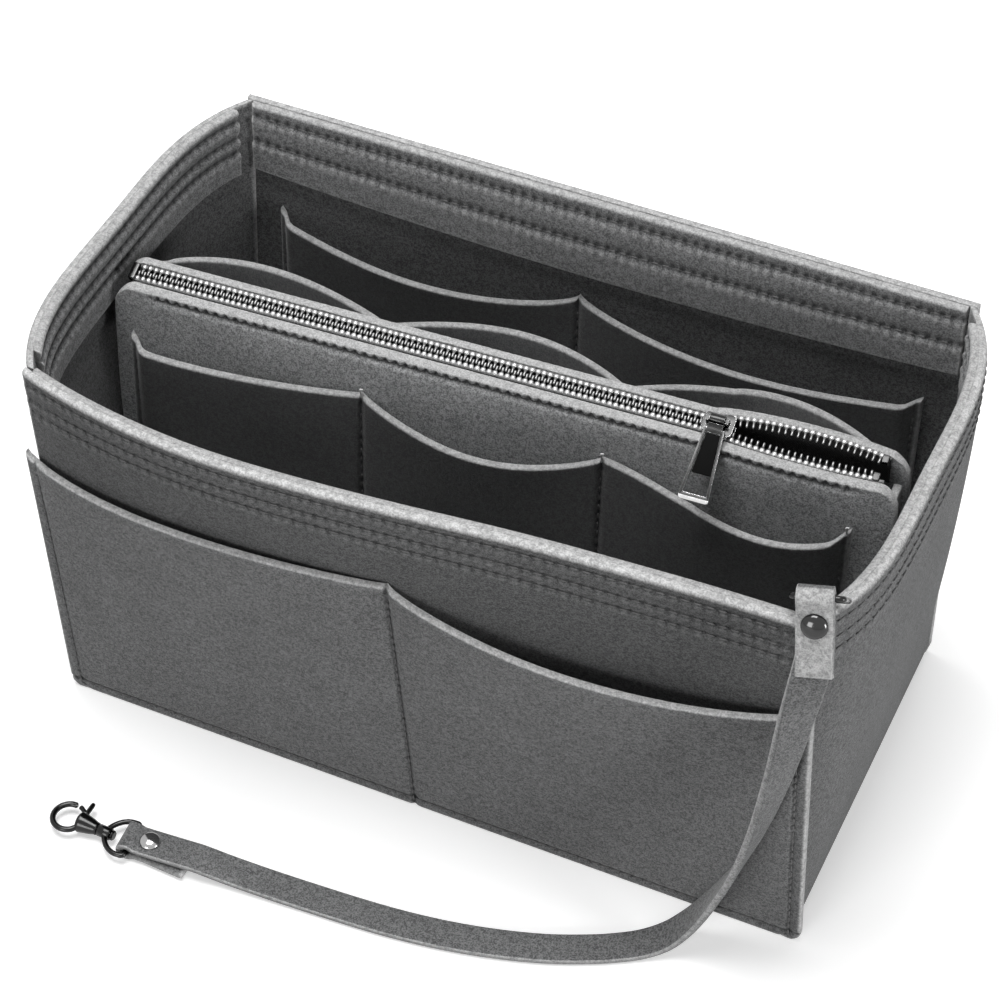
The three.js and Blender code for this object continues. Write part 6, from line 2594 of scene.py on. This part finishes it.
@dataclass(frozen=True)
class Studio:
    """Pale floor, soft light and the camera at the photograph's angle."""

    azimuth: float = 24.81
    elevation: float = 45.6
    roll: float = -0.41
    lens: float = 110.01
    sensor: float = 36.0
    eye: tuple[float, float, float] = (0.3176, -0.6872, 0.8678)
    floor_size: float = 6.0
    # The floor's glow is weaker towards the front: painted shade on the floor before the part.
    floor_glow: tuple[float, ...] = (-0.25, 0.35, 0.4, 0.56)  # from y to y, and its strength at both
    ambient: float = 0.05
    aim: tuple[float, float, float] = (0.0, 0.0, 0.1)

    def build_camera(self) -> None:
        """Sets the camera."""
        a, e, r = (math.radians(x) for x in (self.azimuth, self.elevation, self.roll))
        back = Vector((math.sin(a) * math.cos(e), -math.cos(a) * math.cos(e), math.sin(e)))
        right = Vector((math.cos(a), math.sin(a), 0.0))
        up = back.cross(right)
        right_rolled = right * math.cos(r) + up * math.sin(r)
        up_rolled = up * math.cos(r) - right * math.sin(r)
        lens = bpy.data.cameras.new("camera")
        lens.lens = self.lens
        lens.sensor_width = self.sensor
        lens.sensor_fit = "HORIZONTAL"
        camera = linked("camera", lens)
        place = Matrix((right_rolled, up_rolled, back)).transposed().to_4x4()
        camera.matrix_world = Matrix.Translation(Vector(self.eye)) @ place
        bpy.context.scene.camera = camera

    def build_floor(self) -> None:
        """A pale floor that shows white to the camera and keeps the shadow."""
        half = self.floor_size / 2
        corners = [(-half, -half, 0), (half, -half, 0), (half, half, 0), (-half, half, 0)]
        mesh = bpy.data.meshes.new("floor")
        mesh.from_pydata(corners, [], [(0, 1, 2, 3)])
        material = bpy.data.materials.new("floor_pale")
        sheet = cleared(material)
        pale = sheet.out("ShaderNodeBsdfDiffuse", Color=grey(0.8))
        dim = sheet.out("ShaderNodeBsdfDiffuse", Color=grey(0.4))
        away = sheet.add("ShaderNodeSeparateXYZ", sheet.place()).outputs[1]
        # Its glow fades towards the front, painted shade.
        glow = sheet.out("ShaderNodeEmission", grey(1.0), sheet.spread(away, *self.floor_glow))
        lit = sheet.out("ShaderNodeAddShader", pale, glow)
        shown = sheet.out("ShaderNodeMixShader", background_rays(sheet), dim, lit)
        sheet.add("ShaderNodeOutputMaterial", Surface=shown)
        mesh.materials.append(material)
        linked("floor", mesh)

    def build_world(self) -> None:
        """A white surround for the camera and reflections, and a dim one for light."""
        world = bpy.data.worlds.new("studio")
        bpy.context.scene.world = world
        sheet = cleared(world)
        strength = sheet.math("MAXIMUM", background_rays(sheet), self.ambient)
        around = sheet.out("ShaderNodeBackground", grey(1.0), strength)
        sheet.add("ShaderNodeOutputWorld", Surface=around)

    def area_light(self, name: str, place: tuple[float, float, float], size: float, power: float) -> None:
        """Adds a soft lamp that points at the part.

        Args:
            name: its name.
            place: where it stands.
            size: its side.
            power: its strength in watts.
        """
        lamp = bpy.data.lights.new(name, "AREA")
        lamp.shape = "SQUARE"
        lamp.size = size
        lamp.energy = power
        made = linked(name, lamp)
        made.location = place
        made.rotation_euler = (Vector(place) - Vector(self.aim)).to_track_quat("Z", "Y").to_euler()

    def build(self) -> None:
        """Sets the floor, the world, a large overhead lamp, a front fill and a side fill."""
        self.build_floor()
        self.build_world()
        self.area_light("overhead", (-0.2, 0.0, 1.9), 1.1, 37.0)
        self.area_light("front", (-0.3, -1.9, 0.6), 0.8, 15.0)
        self.area_light("right", (1.9, -0.3, 0.32), 0.6, 22.0)
        bpy.context.scene.view_settings.view_transform = "Standard"


def main() -> None:
    """Builds every piece in order."""
    logging.basicConfig(level=logging.INFO, format="%(message)s")
    studio = Studio()
    studio.build_camera()
    finishes = Finishes()
    repeater = Repeater()
    box = FeltBox()
    key_strap = KeyStrap(box)
    strap, run, pieces = key_strap.build(finishes)
    pieces += SwivelClasp(key_strap).build(finishes)
    box.build(finishes, repeater)
    pouch = ZipPouch()
    pouch.build(finishes, repeater)
    ZipChain(pouch).build(finishes, repeater)
    studio.build()


if __name__ == "__main__":
    main()
